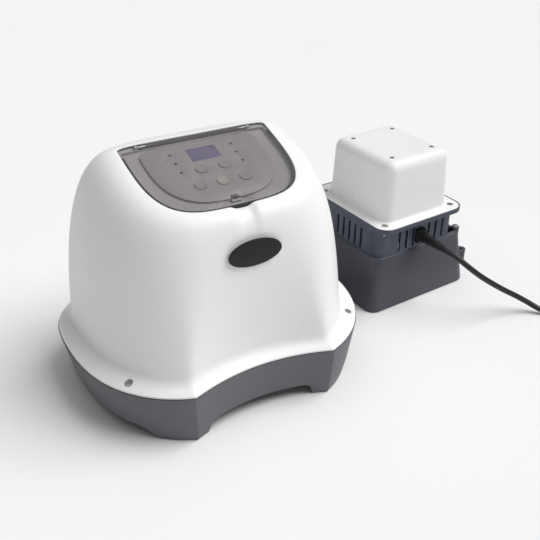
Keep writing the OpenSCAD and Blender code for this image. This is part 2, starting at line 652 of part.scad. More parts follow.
vent_mid = [0, 3];
vent_half = [73, 73];
vent_wall = 2.5;
lip_mid = [0, 1];
lip_half = [78.2, 85.5];
lip_r = 21;
lip_wall = 1.8;
lip_h = 6.5;
seat_z = vent_h - 4.5;
slot_low = box_h + 3;
slot_high = vent_h - 16;
gland_x = 4;
front_slot_x = [for (start = [-34, 22]) for (i = [0 : 2]) start + i * (slot_pitch + 0.5)];
side_slot_y = [for (i = [-2 : 2]) i * slot_pitch - 6];
function vent_flat(inset) = rounded(vent_half[0] - inset, vent_half[1] - inset, 16 - inset, vent_mid[0], vent_mid[1]);
function lip_flat(inset) = rounded(lip_half[0] - inset, lip_half[1] - inset, lip_r - inset, lip_mid[0], lip_mid[1]);
module vent_slots() {
    for (s = [-1, 1]) for (y = side_slot_y)
        translate([s * vent_half[0] - 6, y - slot_w / 2, slot_low]) cube([12, slot_w, slot_high - slot_low]);
    for (s = [-1, 1]) for (x = front_slot_x)
        translate([x - slot_w / 2, vent_mid[1] + s * vent_half[1] - 6, slot_low]) cube([slot_w, 12, slot_high - slot_low]);
}
flange_screw_at = [for (x = [-62.4, 62.4]) for (y = [-67.2, 67.2]) [x, y]];
top_screw_at = [for (x = [-36.8, 36.8]) for (y = [-41.2, 41.2]) [x, y]];
cord_z = 100;
gland_face = vent_mid[1] - vent_half[1];
outlet_face = vent_mid[1] + vent_half[1];
outlet_x = 7.5;
module supply_vent_housing() at_supply() color("#4a505c") difference() {
    union() {
        translate([0, 0, box_h]) linear_extrude(vent_h - box_h - 1) polygon(vent_flat(0));
        loft([at_z(vent_flat(1), vent_h - lip_h - 3.5), at_z(lip_flat(0), vent_h - lip_h), at_z(lip_flat(0), vent_h)]);
    }
    translate([0, 0, box_h - 1]) linear_extrude(60) difference() {
        polygon(vent_flat(vent_wall));
        for (p = flange_screw_at) translate([p[0] * 0.98, p[1] * 0.97]) circle(r = 10.5);
    }
    translate([0, 0, seat_z]) linear_extrude(10) polygon(lip_flat(lip_wall));
    vent_slots();
    for (p = flange_screw_at) translate([p[0], p[1], seat_z - 12]) cylinder(r = screw_r, h = 20);
    translate([gland_x, gland_face, cord_z]) along_y() cylinder(r = 7, h = 20, center = true);
    translate([outlet_x, outlet_face, cord_z]) along_y() cylinder(r = 5, h = 20, center = true);
}

gasket_t = 1;
module supply_gasket() at_supply() color("#1b1b1d") translate([0, 0, seat_z]) linear_extrude(gasket_t) difference() {
    polygon(lip_flat(lip_wall + 0.6));
    polygon(vent_flat(8));
    for (p = flange_screw_at) translate(p) circle(r = screw_r);
}

cover_z = seat_z + gasket_t;
cover_plate = vent_h - cover_z;
cover_wall = 2.5;
cover_foot = [59.5, 66];
cover_top = [57, 63.5];
cover_round = 15;
round_steps = 5;
cover_bend_z = cover_h - cover_round;
// Half sizes of the cover block at height z: straight walls, then a quarter round
function cover_ring(z, inset) =
    let (t = min(1, (z - vent_h) / (cover_bend_z - vent_h)), up = max(0, z - cover_bend_z),
         e = inset + cover_round - sqrt(cover_round * cover_round - up * up),
         h = cover_foot + (cover_top - cover_foot) * t)
    at_z(rounded(h[0] - e, h[1] - e, max(3, 14 - e)), z);
cover_levels = [vent_h - 1, cover_bend_z, for (i = [1 : round_steps]) cover_bend_z + cover_round * sin(90 * i / round_steps)];
module supply_cover() at_supply() color("#f0f0ee") difference() {
    union() {
        translate([0, 0, cover_z]) linear_extrude(cover_plate) polygon(lip_flat(lip_wall + 0.2));
        loft([for (z = cover_levels) cover_ring(z, 0)]);
    }
    translate([0, 0, -cover_wall]) loft([for (z = cover_levels) cover_ring(z, cover_wall)]);
    translate([0, 0, cover_z - 1]) linear_extrude(cover_plate)
        polygon(rounded(cover_foot[0] - cover_wall, cover_foot[1] - cover_wall, 11));
    for (p = flange_screw_at) translate([p[0], p[1], cover_z]) {
        translate([0, 0, -1]) cylinder(r = screw_r + 0.2, h = 20);
        translate([0, 0, cover_plate - 2]) cylinder(r = head_r + 0.6, h = 4);
    }
    for (p = top_screw_at) translate([p[0], p[1], cover_h - 1.4]) {
        translate([0, 0, -8]) cylinder(r = 1.7, h = 20);
        cylinder(r = 3.4, h = 5);
    }
}
module cover_flange_screws() at_supply() color("#b9bcc0") for (p = flange_screw_at) translate([p[0], p[1], cover_z]) {
    translate([0, 0, -12]) cylinder(r = screw_r, h = cover_plate + 10);
    translate([0, 0, cover_plate - 2]) cylinder(r = head_r, h = 1.8);
}
module cover_top_screws() at_supply() color("#c9cacc") for (p = top_screw_at) translate([p[0], p[1], cover_h - 1.4]) {
    translate([0, 0, -14]) cylinder(r = 1.6, h = 14);
    cylinder(r = 3, h = 0.9);
}

// Transformer on its frame, held by the cover's top screws
post_top = cover_h - cover_wall - 0.3;
frame_z = box_h + 2;
module transformer_frame() at_supply() color("#9a9ca0") difference() {
    union() {
        translate([-50, -50, frame_z]) cube([100, 100, 3]);
        for (p = top_screw_at) translate([p[0], p[1], frame_z + 3]) cylinder(r = 4, h = post_top - frame_z - 3);
    }
    for (p = top_screw_at) translate([p[0], p[1], cover_h - 20]) cylinder(r = 1.6, h = 30);
}
core_half = [31, 24];
core_h = 72;
window_x = 17;
window_half_w = 6;
window_margin = 12;
module transformer_core() at_supply() color("#6c6e72") translate([0, 0, frame_z + 3]) difference() {
    translate([-core_half[0], -core_half[1], 0]) cube([2 * core_half[0], 2 * core_half[1], core_h]);
    for (s = [-1, 1]) translate([s * window_x - window_half_w, -30, window_margin])
        cube([2 * window_half_w, 60, core_h - 2 * window_margin]);
}
coil_gap = 0.3;
module transformer_coil() at_supply() color("#b5652f") translate([0, 0, frame_z + 3 + window_margin + coil_gap])
    linear_extrude(core_h - 2 * window_margin - 2 * coil_gap) difference() {
        polygon(rounded(window_x + window_half_w - coil_gap, 34, 6));
        square([2 * (window_x - window_half_w + coil_gap), 2 * (core_half[1] + coil_gap)], center = true);
    }

// Rectifier board on posts in the lower box
rect_z = 14;
rect_t = 1.6;
rect_size = [110, 100];
post_r = 4;
module rectifier_board() at_supply() color("#2f6b46") translate([-50, -46, rect_z]) {
    cube([rect_size[0], rect_size[1], rect_t]);
    for (x = [8, rect_size[0] - 8]) for (y = [8, rect_size[1] - 8])
        translate([x, y, box_wall - rect_z]) cylinder(r = post_r, h = rect_z - box_wall);
}
fin_count = 8;
fin_pitch = 8;
module heat_sink() at_supply() color("#b4b7bb") translate([-44, 24, rect_z + rect_t]) {
    cube([fin_pitch * (fin_count - 1) + 2, 26, 3]);
    for (i = [0 : fin_count - 1]) translate([i * fin_pitch, 0, 2]) cube([2, 26, 22]);
}
module terminal_block() at_supply() color("#e2e0da") translate([28, -36, rect_z + rect_t]) difference() {
    cube([26, 60, 14]);
    for (i = [0 : 4]) translate([13, 8 + 11 * i, 8]) cylinder(r = 3, h = 10);
}
module fuse_holder() at_supply() color("#2b2b2e") translate([-40, -34, rect_z + rect_t]) difference() {
    cube([30, 12, 10]);
    translate([2, 3, 5]) cube([26, 6, 10]);
}
module low_voltage_outlet() at_supply() color("#1f1f22") translate([outlet_x, outlet_face - vent_wall - 3, cord_z]) along_y() difference() {
    union() {
        cylinder(r = 8, h = 3);
        cylinder(r = 5, h = 12);
        translate([0, 0, 5.5]) cylinder(r = 8, h = 6.5, $fn = 6);
    }
    translate([0, 0, -1]) cylinder(r = 2.5, h = 30);
}

// ---- mains cord ------------------------------------------------------

grip_start = 8.2;
grip_len = 40;
plate_half = [8, 10.5];
module cord_gland() at_supply() color("#131314") translate([gland_x, gland_face, cord_z]) rotate([90, 0, 0]) difference() {
    union() {
        translate([0, 0, -3]) cylinder(r = 7, h = 6);
        translate([0, 0, -5.5]) cylinder(r = 9.5, h = 3);
        linear_extrude(5) polygon(rounded(plate_half[0], plate_half[1], 2.5));
        translate([0, 0, 6.2]) linear_extrude(2) polygon(rounded(plate_half[0] - 0.5, plate_half[1] - 1, 2.5));
        cylinder(r = 7.2, h = grip_start);
    }
    translate([0, 0, -10]) cylinder(r = cord_d / 2, h = 30);
}
fin_gap = 5.2;
module cord_grip() at_supply() color("#131314") translate([gland_x, gland_face - grip_start, cord_z]) rotate([90, 0, 0]) difference() {
    union() {
        cylinder(r1 = 6.2, r2 = 4.8, h = grip_len);
        for (i = [0 : 6]) translate([0, 0, 2 + i * fin_gap]) cylinder(r = 8 - 0.42 * i, h = 2.4);
    }
    translate([0, 0, -1]) cylinder(r = cord_d / 2, h = grip_len + 2);
}

// Route of the cord from the grip, down to the floor and on to the coil
cord_route = [[209.2, -62.5, 100], [209.9, -72, 99.2], [215.6, -85, 95], [229.3, -100, 81], [245.3, -108, 67],
    [263.6, -114, 53.5], [282.4, -119, 40.5], [302.1, -124, 28], [321, -132.7, 15.5], [333.7, -145.5, 7],
    [346, -160, 4.1], [361, -176.5, 4], [377, -197.5, 4], [391.4, -215.6, 4]];
coil_mid = [427, -180.5];
coil_r = 46;
coil_turns = 2;
coil_half = coil_turns * cord_d / 2;
coil_h = coil_layers * cord_d;
module swept(pts, r, sides) {
    n = len(pts);
    loft([for (i = [0 : n - 1]) tube_ring(pts, r, sides, i)]);
}
cord_tail = [[477, -172, 20.5], [477, -160, 21.5], [476.8, -149, 18.5], [476.4, -139.5, 15]];
module mains_cord() color("#161617") for (run = [cord_route, cord_tail]) swept(run, cord_d / 2 - 0.02, 12);
module cord_coil() color("#161617") translate([coil_mid[0], coil_mid[1], 0]) rotate_extrude($fn = 96)
    translate([coil_r - coil_half, 0.02]) polygon(rounded(coil_half, coil_h / 2, 3.9, coil_half, coil_h / 2));
tie_w = 10;
tie_ang = 110;
module coil_tie() color("#2b2b2d") translate([coil_mid[0], coil_mid[1], 0]) rotate([0, 0, tie_ang])
    translate([coil_r, 0, coil_h / 2 + 0.65]) rotate([90, 0, 0]) linear_extrude(tie_w, center = true) difference() {
        polygon(rounded(coil_half + 1, coil_h / 2 + 0.64, 4.4));
        polygon(rounded(coil_half + 0.02, coil_h / 2 - 0.3, 3.9));
    }

// Plug, lying beside the coil
plug_pos = [476.4, -122.5, 0];
plug_turn = -90;
plug_lie = 15;
plug_half_len = 19;
plug_pin_r = 2.4;
pin_pitch = 19;
pin_len = 19;
module at_plug() translate(plug_pos) rotate([0, 0, plug_turn]) translate([0, 0, plug_lie]) children();
// Stations along the plug: distance from its face, half height, half width
plug_stations = [[0, 13.6, 18.2], [3, 14.6, 19.2], [16, 14.8, 19.4], [24, 12, 14], [38, 7, 7.4]];
module plug_body() at_plug() color("#19191a") along_x() translate([0, 0, -plug_half_len])
    loft([for (q = plug_stations) at_z(rounded(q[1], q[2], 6.6), q[0])]);
module plug_pins() at_plug() color("#c7c9cb") for (s = [-1, 1])
    translate([-plug_half_len, s * pin_pitch / 2, 0]) rotate([0, -90, 0]) {
        cylinder(r = plug_pin_r, h = pin_len - 0.8);
        translate([0, 0, pin_len - 0.8]) cylinder(r1 = plug_pin_r, r2 = 1.6, h = 0.8);
    }

base_housing();
rubber_feet();
rim_seal();
dome_shell();
rim_screws();
badge_plate();
control_tray();
keypad_overlay();
display_window();
display_module();
indicator_lenses();
key_upper_left();
key_upper_right();
key_lower_left();
key_lower_middle();
key_lower_right();
lid_gasket();
clear_lid();
lid_hinge_pins();
lid_catch();
control_board();
board_screws();
key_switches();
board_relays();
cell_housing();
cell_brackets();
electrode_carrier();
electrode_plates();
electrode_terminals();
cell_collar();
cell_o_ring();
cell_leads();
flow_sensor_body();
flow_flap();
inlet_port();
outlet_port();
port_o_rings();
low_voltage_inlet();
supply_base();
supply_vent_housing();
supply_gasket();
supply_cover();
cover_flange_screws();
cover_top_screws();
transformer_frame();
transformer_core();
transformer_coil();
rectifier_board();
heat_sink();
terminal_block();
fuse_holder();
box_screw();
low_voltage_outlet();
cord_gland();
cord_grip();
mains_cord();
cord_coil();
coil_tie();
plug_body();
plug_pins();
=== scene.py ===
"""Looks of a pool salt chlorine generator: domed control unit, vented power unit and mains cord."""

import json
import math

import bpy
import numpy as np
from mathutils import Matrix, Vector


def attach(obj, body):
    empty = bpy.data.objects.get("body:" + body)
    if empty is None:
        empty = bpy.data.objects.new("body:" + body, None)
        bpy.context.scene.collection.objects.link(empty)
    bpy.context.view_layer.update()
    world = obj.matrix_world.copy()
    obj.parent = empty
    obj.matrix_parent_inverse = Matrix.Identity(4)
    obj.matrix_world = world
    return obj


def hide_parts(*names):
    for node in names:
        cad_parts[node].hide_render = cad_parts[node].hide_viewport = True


bl_info = {
    "name": "Salt chlorine generator",
    "version": (1, 0, 0),
    "blender": (4, 5, 0),
    "location": "3D View > Sidebar > Chlorinator",
    "description": "Builds the finished looks of a pool salt chlorine generator round its packed frame",
    "category": "Object",
}

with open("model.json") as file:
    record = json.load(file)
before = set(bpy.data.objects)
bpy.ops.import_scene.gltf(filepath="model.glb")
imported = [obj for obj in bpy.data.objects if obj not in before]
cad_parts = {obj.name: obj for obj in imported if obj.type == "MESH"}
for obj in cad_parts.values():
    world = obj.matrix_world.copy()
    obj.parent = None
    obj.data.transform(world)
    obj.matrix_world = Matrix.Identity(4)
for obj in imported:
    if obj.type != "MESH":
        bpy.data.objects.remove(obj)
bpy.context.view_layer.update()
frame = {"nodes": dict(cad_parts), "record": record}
MM = 0.001
# Vertices closer than this, in metres, are one
MERGE = 2e-6
HOUSINGS = "housings"

# Where the two housings stand, in millimetres
UNIT = (-121.15, -6.54)
SUPPLY = (196.35, 55.06)
SUPPLY_TURN = math.radians(4.3)
# The control panel's own frame: x right, v up the slope, w out of the panel
PANEL = (13.6, 282.2)
SLOPE = math.radians(16.2)
FLANGE_Z = 66.8
FOOT_Z = 78.6
FOOT_OVAL = (165.5, 52, 197, 54, 2.67, 2.8)
CORNER_X = 92.0
CORNER_ANG = 26.3
HOLLOW = 18.0
RIM_SCREWS = [(149, -89), (-149, -89), (148, 95), (-148, 95)]
PORT_X = 58.0
PORT_Z = 118.0
# Half the size of the power unit's white cover at its foot and near its top, and its rounding
COVER_FOOT = (59.5, 66.0)
COVER_TOP = (57.0, 63.5)
COVER_TOP_Z = 218.0
COVER_ROUND = 15.0
COVER_CORNER = 14.0
COVER_WALL = 2.5
FLANGE_SCREWS = [(x, y) for x in (-62.4, 62.4) for y in (-67.2, 67.2)]
TOP_SCREWS = [(x, y) for x in (-36.8, 36.8) for y in (-41.2, 41.2)]
RIBS = 5
RIB_GAP = 9.5
CORD_ROUTE = [
    (209.2, -62.5, 100), (209.9, -72, 99.2), (215.6, -85, 95), (229.3, -100, 81), (245.3, -108, 67),
    (263.6, -114, 53.5), (282.4, -119, 40.5), (302.1, -124, 28), (321, -132.7, 15.5), (333.7, -145.5, 7),
    (346, -160, 4.1), (361, -176.5, 4), (377, -197.5, 4), (391.4, -215.6, 4),
]
COIL_MID = (427.0, -180.5)
CORD_TAIL = [(477, -172, 20.5), (477, -160, 21.5), (476.8, -149, 18.5), (476.4, -139.5, 15)]


# ---- places ------------------------------------------------------------


def at_unit(points):
    """Control unit millimetres to metres in the shared frame."""
    p = np.array(points, float).reshape(-1, 3)
    return (p + np.array([UNIT[0], UNIT[1], 0])) * MM


def at_supply(points):
    """Power unit millimetres to metres in the shared frame."""
    p = np.array(points, float).reshape(-1, 3)
    c, s = math.cos(SUPPLY_TURN), math.sin(SUPPLY_TURN)
    x = SUPPLY[0] + p[:, 0] * c - p[:, 1] * s
    y = SUPPLY[1] + p[:, 0] * s + p[:, 1] * c
    return np.stack([x, y, p[:, 2]], 1) * MM


def panel_mm(points):
    """Panel x, v, w to control unit millimetres."""
    p = np.array(points, float).reshape(-1, 3)
    c, s = math.cos(SLOPE), math.sin(SLOPE)
    return np.stack([p[:, 0], PANEL[0] + p[:, 1] * c - p[:, 2] * s, PANEL[1] + p[:, 1] * s + p[:, 2] * c], 1)


# ---- outlines ----------------------------------------------------------


def spow(v, e):
    """Power that keeps the sign, for superellipses."""
    return np.sign(v) * np.abs(v) ** e


def oval(o, deg):
    """Oval whose front and back halves have their own reach and fullness; deg 0 is the front."""
    a = np.radians(deg)
    c, s = np.cos(a), np.sin(a)
    n = np.where(c > 0, o[4], o[5])
    return np.stack([o[0] * spow(s, 2 / n), o[1] - np.where(c > 0, o[2], o[3]) * spow(c, 2 / n)], -1)


def dee(a, front, back, mid=22.0, n=3.7, nb=6.0):
    """The panel opening's oval: full and square at the back, rounder in front."""
    return (a, mid, front + mid, back - mid, n, nb)


def rim_oval(out):
    """The flange's oval, grown by out."""
    return (187 + out, 22, 178.5 + out, 119.4 + out, 2.52, 2.8)


def rim_line(o, cx, angs):
    """Rim outline: a hollow front between two corners, then the oval."""
    start = math.degrees(math.asin((cx / o[0]) ** (o[4] / 2)))
    out = []
    y0 = float(oval(o, start)[1])
    for ang in angs:
        a = ang - 360 if ang > 180 else ang
        m, sd = abs(a), (-1 if a < 0 else 1)
        if m <= CORNER_ANG:
            u = (math.sin(math.radians(m)) / math.sin(math.radians(CORNER_ANG))) ** (2 / FOOT_OVAL[4])
            out.append((sd * cx * u, y0 + HOLLOW * (1 - u * u)))
        else:
            q = oval(o, start + (m - CORNER_ANG) * (180 - start) / (180 - CORNER_ANG))
            out.append((sd * float(q[0]), float(q[1])))
    return np.array(out)


def round_angles(front, side):
    """Steps round the rim, closer together near the middle of the hollow front."""
    f = [CORNER_ANG * float(spow(np.array(2 * i / front - 1.0), 1.8)) for i in range(front)]
    s = [CORNER_ANG + (360 - 2 * CORNER_ANG) * i / side for i in range(side)]
    return np.array(f + s)


ANGS = round_angles(96, 300)


def rounded(hx, hy, r, cx=0.0, cy=0.0, steps=10):
    """Rounded rectangle outline, anticlockwise."""
    out = []
    for q in range(4):
        sx, sy = ((1, 1), (-1, 1), (-1, -1), (1, -1))[q]
        for i in range(steps + 1):
            a = math.radians(90 * (q + i / steps))
            out.append((cx + sx * (hx - r) + r * math.cos(a), cy + sy * (hy - r) + r * math.sin(a)))
    return np.array(out)


def lifted(outline, z):
    """An outline laid at a height."""
    o = np.array(outline, float)
    return np.column_stack([o, np.full(len(o), float(z))])


# ---- modelling ---------------------------------------------------------


def only(obj):
    """Selects one object and nothing else."""
    bpy.ops.object.select_all(action="DESELECT")
    obj.select_set(True)
    bpy.context.view_layer.objects.active = obj


def edit(obj, *steps):
    """Runs edit-mode steps with everything selected."""
    only(obj)
    bpy.ops.object.mode_set(mode="EDIT")
    bpy.ops.mesh.select_all(action="SELECT")
    for step in steps:
        step()
    bpy.ops.object.mode_set(mode="OBJECT")


def skin(name, rings, place, closed=False):
    """A lofted skin through rings of equal length; closed joins the last ring to the first."""
    rows = [*rings, rings[0]] if closed else rings
    bpy.ops.object.select_all(action="DESELECT")
    bpy.ops.mesh.primitive_grid_add(x_subdivisions=len(rows[0]), y_subdivisions=len(rows) - 1, size=2)
    obj = bpy.context.object
    obj.name = obj.data.name = name
    points = place(np.vstack([np.vstack([row, row[:1]]) for row in rows]))
    obj.data.vertices.foreach_set("co", points.astype(np.float32).ravel())
    obj.data.update()
    edit(obj, lambda: bpy.ops.mesh.remove_doubles(threshold=MERGE))
    if not closed:
        edit(obj, lambda: bpy.ops.mesh.select_all(action="DESELECT"), bpy.ops.mesh.select_non_manifold,
             lambda: bpy.ops.mesh.fill_holes(sides=0))
    edit(obj, lambda: bpy.ops.mesh.normals_make_consistent(inside=False))
    obj.matrix_world = Matrix.Identity(4)
    return obj


def prism(name, outline, low, high, place):
    """An upright block between two heights."""
    return skin(name, [lifted(outline, low), lifted(outline, high)], place)


def circle(r, cx=0.0, cy=0.0, n=48):
    """Round outline, anticlockwise."""
    a = np.linspace(0, 2 * math.pi, n, endpoint=False)
    return np.stack([cx + r * np.cos(a), cy + r * np.sin(a)], 1)


def applied(obj, kind, **settings):
    """Adds a modifier, sets it and applies it."""
    only(obj)
    m = obj.modifiers.new(kind.lower(), kind)
    for k, v in settings.items():
        setattr(m, k, v)
    bpy.ops.object.modifier_apply(modifier=m.name)
    return obj


def cut(obj, cutter):
    """Takes one solid out of another and removes the cutter."""
    applied(obj, "BOOLEAN", operation="DIFFERENCE", object=cutter, solver="EXACT")
    bpy.data.objects.remove(cutter, do_unlink=True)
    return obj


def joined(name, *objs):
    """Several meshes as one object."""
    bpy.ops.object.select_all(action="DESELECT")
    for o in objs:
        o.select_set(True)
    bpy.context.view_layer.objects.active = objs[0]
    bpy.ops.object.join()
    objs[0].name = objs[0].data.name = name
    return objs[0]


def smooth(obj, deg=35.0):
    """Smooth shading, with edges sharper than deg kept."""
    only(obj)
    bpy.ops.object.shade_smooth_by_angle(angle=math.radians(deg))
    return obj


def soften(obj, width, segments=2, deg=40.0):
    """Small rounded edges, as a moulded or machined part has."""
    applied(obj, "BEVEL", width=width * MM, segments=segments, limit_method="ANGLE",
            angle_limit=math.radians(deg), use_clamp_overlap=True, harden_normals=False)
    return smooth(obj)


def finish_piece(obj, material, body, node):
    """Gives a piece its material, the body it rides on and the CAD node it replaces."""
    obj.data.materials.clear()
    obj.data.materials.append(material)
    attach(obj, body)
    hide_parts(node)
    return obj


def body_of(node):
    """The body that a node rides on."""
    for body, members in frame["record"]["behaviour"]["bodies"].items():
        if node in members:
            return body
    raise RuntimeError(f"no body holds {node}")


def refined(node, material, width=0.3, segments=2):
    """A cleaned copy of a CAD node with softly broken edges, riding where the node rides."""
    source = frame["nodes"][node]
    obj = bpy.data.objects.new(node + "_finished", source.data.copy())
    bpy.context.scene.collection.objects.link(obj)
    obj.data.materials.clear()
    edit(obj, lambda: bpy.ops.mesh.remove_doubles(threshold=MERGE),
         lambda: bpy.ops.mesh.dissolve_limited(angle_limit=math.radians(0.6)))
    if width:
        soften(obj, width, segments)
    else:
        smooth(obj)
    return finish_piece(obj, material, body_of(node), node)


def dress(node, material):
    """A CAD node that keeps its own mesh and takes a finish."""
    o = frame["nodes"][node]
    o.data.materials.clear()
    o.data.materials.append(material)
    o.data.polygons.foreach_set("material_index", [0] * len(o.data.polygons))


# ---- finishes ----------------------------------------------------------


def hexa(code):
    """sRGB hex colour to linear RGBA."""
    out = []
    for i in (0, 2, 4):
        v = int(code.lstrip("#")[i:i + 2], 16) / 255
        out.append(v / 12.92 if v <= 0.04045 else ((v + 0.055) / 1.055) ** 2.4)
    return (*out, 1.0)


def node(tree, kind, inputs=None, links=None, **settings):
    """Adds a shader node with its settings, input values and incoming links."""
    n = tree.nodes.new(kind)
    for k, v in settings.items():
        setattr(n, k, v)
    for k, v in (inputs or {}).items():
        n.inputs[k].default_value = v
    for k, source in (links or {}).items():
        tree.links.new(source, n.inputs[k])
    return n


MATERIALS = {}
# Flow marks of a moulding are about 56 mm across, stains on metal 8 mm and ripples of a clear sheet 110 mm
FLOW_MM = 1000 / 18
STAIN_MM = 1000 / 120
RIPPLE_MM = 1000 / 9


def blank(name):
    """A new material with an empty tree, and its Object coordinates."""
    MATERIALS[name] = bpy.data.materials.new(name)
    MATERIALS[name].use_nodes = True
    tree = MATERIALS[name].node_tree
    tree.nodes.clear()
    return MATERIALS[name], tree, node(tree, "ShaderNodeTexCoord").outputs["Object"]


def shaded(color, factor):
    """A linear colour made darker or lighter."""
    return tuple(min(1, c * factor) for c in color[:3]) + (1,)


def moulded(name, colour, rough=0.42, grain_mm=0.6, grain=0.05, mottle=0.03, rough_vary=0.05, spec=0.45,
            coat=0.0):
    """Injection-moulded plastic: a faint spark-eroded grain, slight flow mottling and uneven gloss.

    The grain of a real moulding is about 0.1 mm; it is drawn coarser so that it shows."""
    if name in MATERIALS:
        return MATERIALS[name]
    m, t, where = blank(name)
    fine = node(t, "ShaderNodeTexNoise", {"Scale": 1000 / grain_mm, "Detail": 2.0, "Roughness": 0.6},
                {"Vector": where})
    broad = node(t, "ShaderNodeTexNoise", {"Scale": 1000 / FLOW_MM, "Detail": 3.0, "Roughness": 0.55},
                 {"Vector": where})
    tint = node(t, "ShaderNodeMix",
                {6: shaded(hexa(colour), 1 - mottle), 7: shaded(hexa(colour), 1 + mottle)},
                {0: broad.outputs["Fac"]}, data_type="RGBA")
    gloss = node(t, "ShaderNodeMapRange",
                 {"From Min": 0.3, "From Max": 0.7,
                  "To Min": rough - rough_vary, "To Max": rough + rough_vary},
                 {"Value": broad.outputs["Fac"]})
    relief = node(t, "ShaderNodeBump", {"Strength": grain, "Distance": 0.0002},
                  {"Height": fine.outputs["Fac"]})
    shader = node(t, "ShaderNodeBsdfPrincipled",
                  {"IOR": 1.5, "Specular IOR Level": spec, "Coat Weight": coat, "Coat Roughness": 0.12},
                  {"Base Color": tint.outputs[2], "Roughness": gloss.outputs["Result"],
                   "Normal": relief.outputs["Normal"]})
    node(t, "ShaderNodeOutputMaterial", links={"Surface": shader.outputs["BSDF"]})
    return m


def metal(name, colour, rough=0.3, brushed_mm=0.25, grain=0.08):
    """Plated or machined metal with fine turning marks and slight staining."""
    if name in MATERIALS:
        return MATERIALS[name]
    m, t, where = blank(name)
    marks = node(t, "ShaderNodeTexNoise", {"Scale": 1000 / brushed_mm, "Detail": 2.0}, {"Vector": where})
    stain = node(t, "ShaderNodeTexNoise", {"Scale": 1000 / STAIN_MM, "Detail": 3.0}, {"Vector": where})
    tint = node(t, "ShaderNodeMix", {6: shaded(hexa(colour), 0.86), 7: hexa(colour)},
                {0: stain.outputs["Fac"]}, data_type="RGBA")
    gloss = node(t, "ShaderNodeMapRange",
                 {"From Min": 0.3, "From Max": 0.7, "To Min": rough * 0.8, "To Max": rough * 1.25},
                 {"Value": stain.outputs["Fac"]})
    relief = node(t, "ShaderNodeBump", {"Strength": grain, "Distance": 0.0001},
                  {"Height": marks.outputs["Fac"]})
    shader = node(t, "ShaderNodeBsdfPrincipled", {"Metallic": 1.0},
                  {"Base Color": tint.outputs[2], "Roughness": gloss.outputs["Result"],
                   "Normal": relief.outputs["Normal"]})
    node(t, "ShaderNodeOutputMaterial", links={"Surface": shader.outputs["BSDF"]})
    return m


def smoked_acrylic():
    """Injection-moulded clear acrylic with a smoky tint: glossy, with faint flow ripples.

    It lets the panel show through by its alpha, so that light still reaches the keys below it."""
    m, t, where = blank("smoked_acrylic")
    ripple = node(t, "ShaderNodeTexNoise", {"Scale": 1000 / RIPPLE_MM, "Detail": 1.0}, {"Vector": where})
    relief = node(t, "ShaderNodeBump", {"Strength": 0.03, "Distance": 0.002},
                  {"Height": ripple.outputs["Fac"]})
    haze = node(t, "ShaderNodeMapRange", {"To Min": 0.04, "To Max": 0.09}, {"Value": ripple.outputs["Fac"]})
    edge = node(t, "ShaderNodeFresnel", {"IOR": 1.49})
    front = node(t, "ShaderNodeMapRange", {"To Min": 0.12, "To Max": 1.0}, {"Value": edge.outputs["Fac"]})
    # Seen from inside the sheet it adds only a thin veil
    side = node(t, "ShaderNodeNewGeometry").outputs["Backfacing"]
    cover = node(t, "ShaderNodeMix", {3: 0.05}, {0: side, 2: front.outputs["Result"]}, data_type="FLOAT")
    shader = node(t, "ShaderNodeBsdfPrincipled",
                  {"Base Color": hexa("#9a9698"), "IOR": 1.49, "Specular IOR Level": 0.5},
                  {"Roughness": haze.outputs["Result"], "Alpha": cover.outputs[0],
                   "Normal": relief.outputs["Normal"]})
    node(t, "ShaderNodeOutputMaterial", links={"Surface": shader.outputs["BSDF"]})
    return m


def backdrop_paper():
    """Matte backdrop paper with a broad, barely seen unevenness, 330 mm across."""
    m, t, where = blank("matte_backdrop_paper")
    cloud = node(t, "ShaderNodeTexNoise", {"Scale": 3.0, "Detail": 1.0}, {"Vector": where})
    tint = node(t, "ShaderNodeMix", {6: hexa("#f0f0f0"), 7: hexa("#f3f3f3")}, {0: cloud.outputs["Fac"]},
                data_type="RGBA")
    shader = node(t, "ShaderNodeBsdfPrincipled", {"Roughness": 0.9, "Specular IOR Level": 0.1},
                  {"Base Color": tint.outputs[2]})
    node(t, "ShaderNodeOutputMaterial", links={"Surface": shader.outputs["BSDF"]})
    return m


def white_asa():
    """The dome's white, weather-proof plastic."""
    return moulded("moulded_white_asa", bpy.context.scene.chlorinator_shell.shell_hex, rough=0.40,
                   grain_mm=0.8, grain=0.03, mottle=0.008, rough_vary=0.04, spec=0.4)


def slate_abs():
    """The base's dark grey plastic, a little rougher than the dome."""
    return moulded("moulded_slate_abs", bpy.context.scene.chlorinator_shell.base_hex, rough=0.50,
                   grain_mm=0.7, grain=0.10, mottle=0.05)


def rubber():
    """Nitrile rubber of seals and feet: dull and nearly black."""
    return moulded("moulded_nitrile_rubber", "#1b1b1d", rough=0.62, grain_mm=0.8, grain=0.10, mottle=0.10,
                   rough_vary=0.06, spec=0.35)


def screw_steel():
    """Turned stainless steel of screws and pins."""
    return metal("turned_stainless_steel", "#b9bbbf", rough=0.30)


def black_part():
    """Black nylon of the small fittings."""
    return moulded("moulded_black_nylon", "#1d1d20", rough=0.45, grain_mm=0.6, grain=0.08, mottle=0.08)


# ---- settings ----------------------------------------------------------


class ShellSettings(bpy.types.PropertyGroup):
    shell_hex: bpy.props.StringProperty(
        name="Shell colour", description="sRGB hex colour of the dome", default="#f4f4f3")
    base_hex: bpy.props.StringProperty(
        name="Base colour", description="sRGB hex colour of the base", default="#66656b")
    foot_fillet: bpy.props.FloatProperty(
        name="Foot fillet", description="Height of the soft fillet at the dome's foot", default=0.007,
        unit="LENGTH", subtype="DISTANCE", min=0, max=0.02)


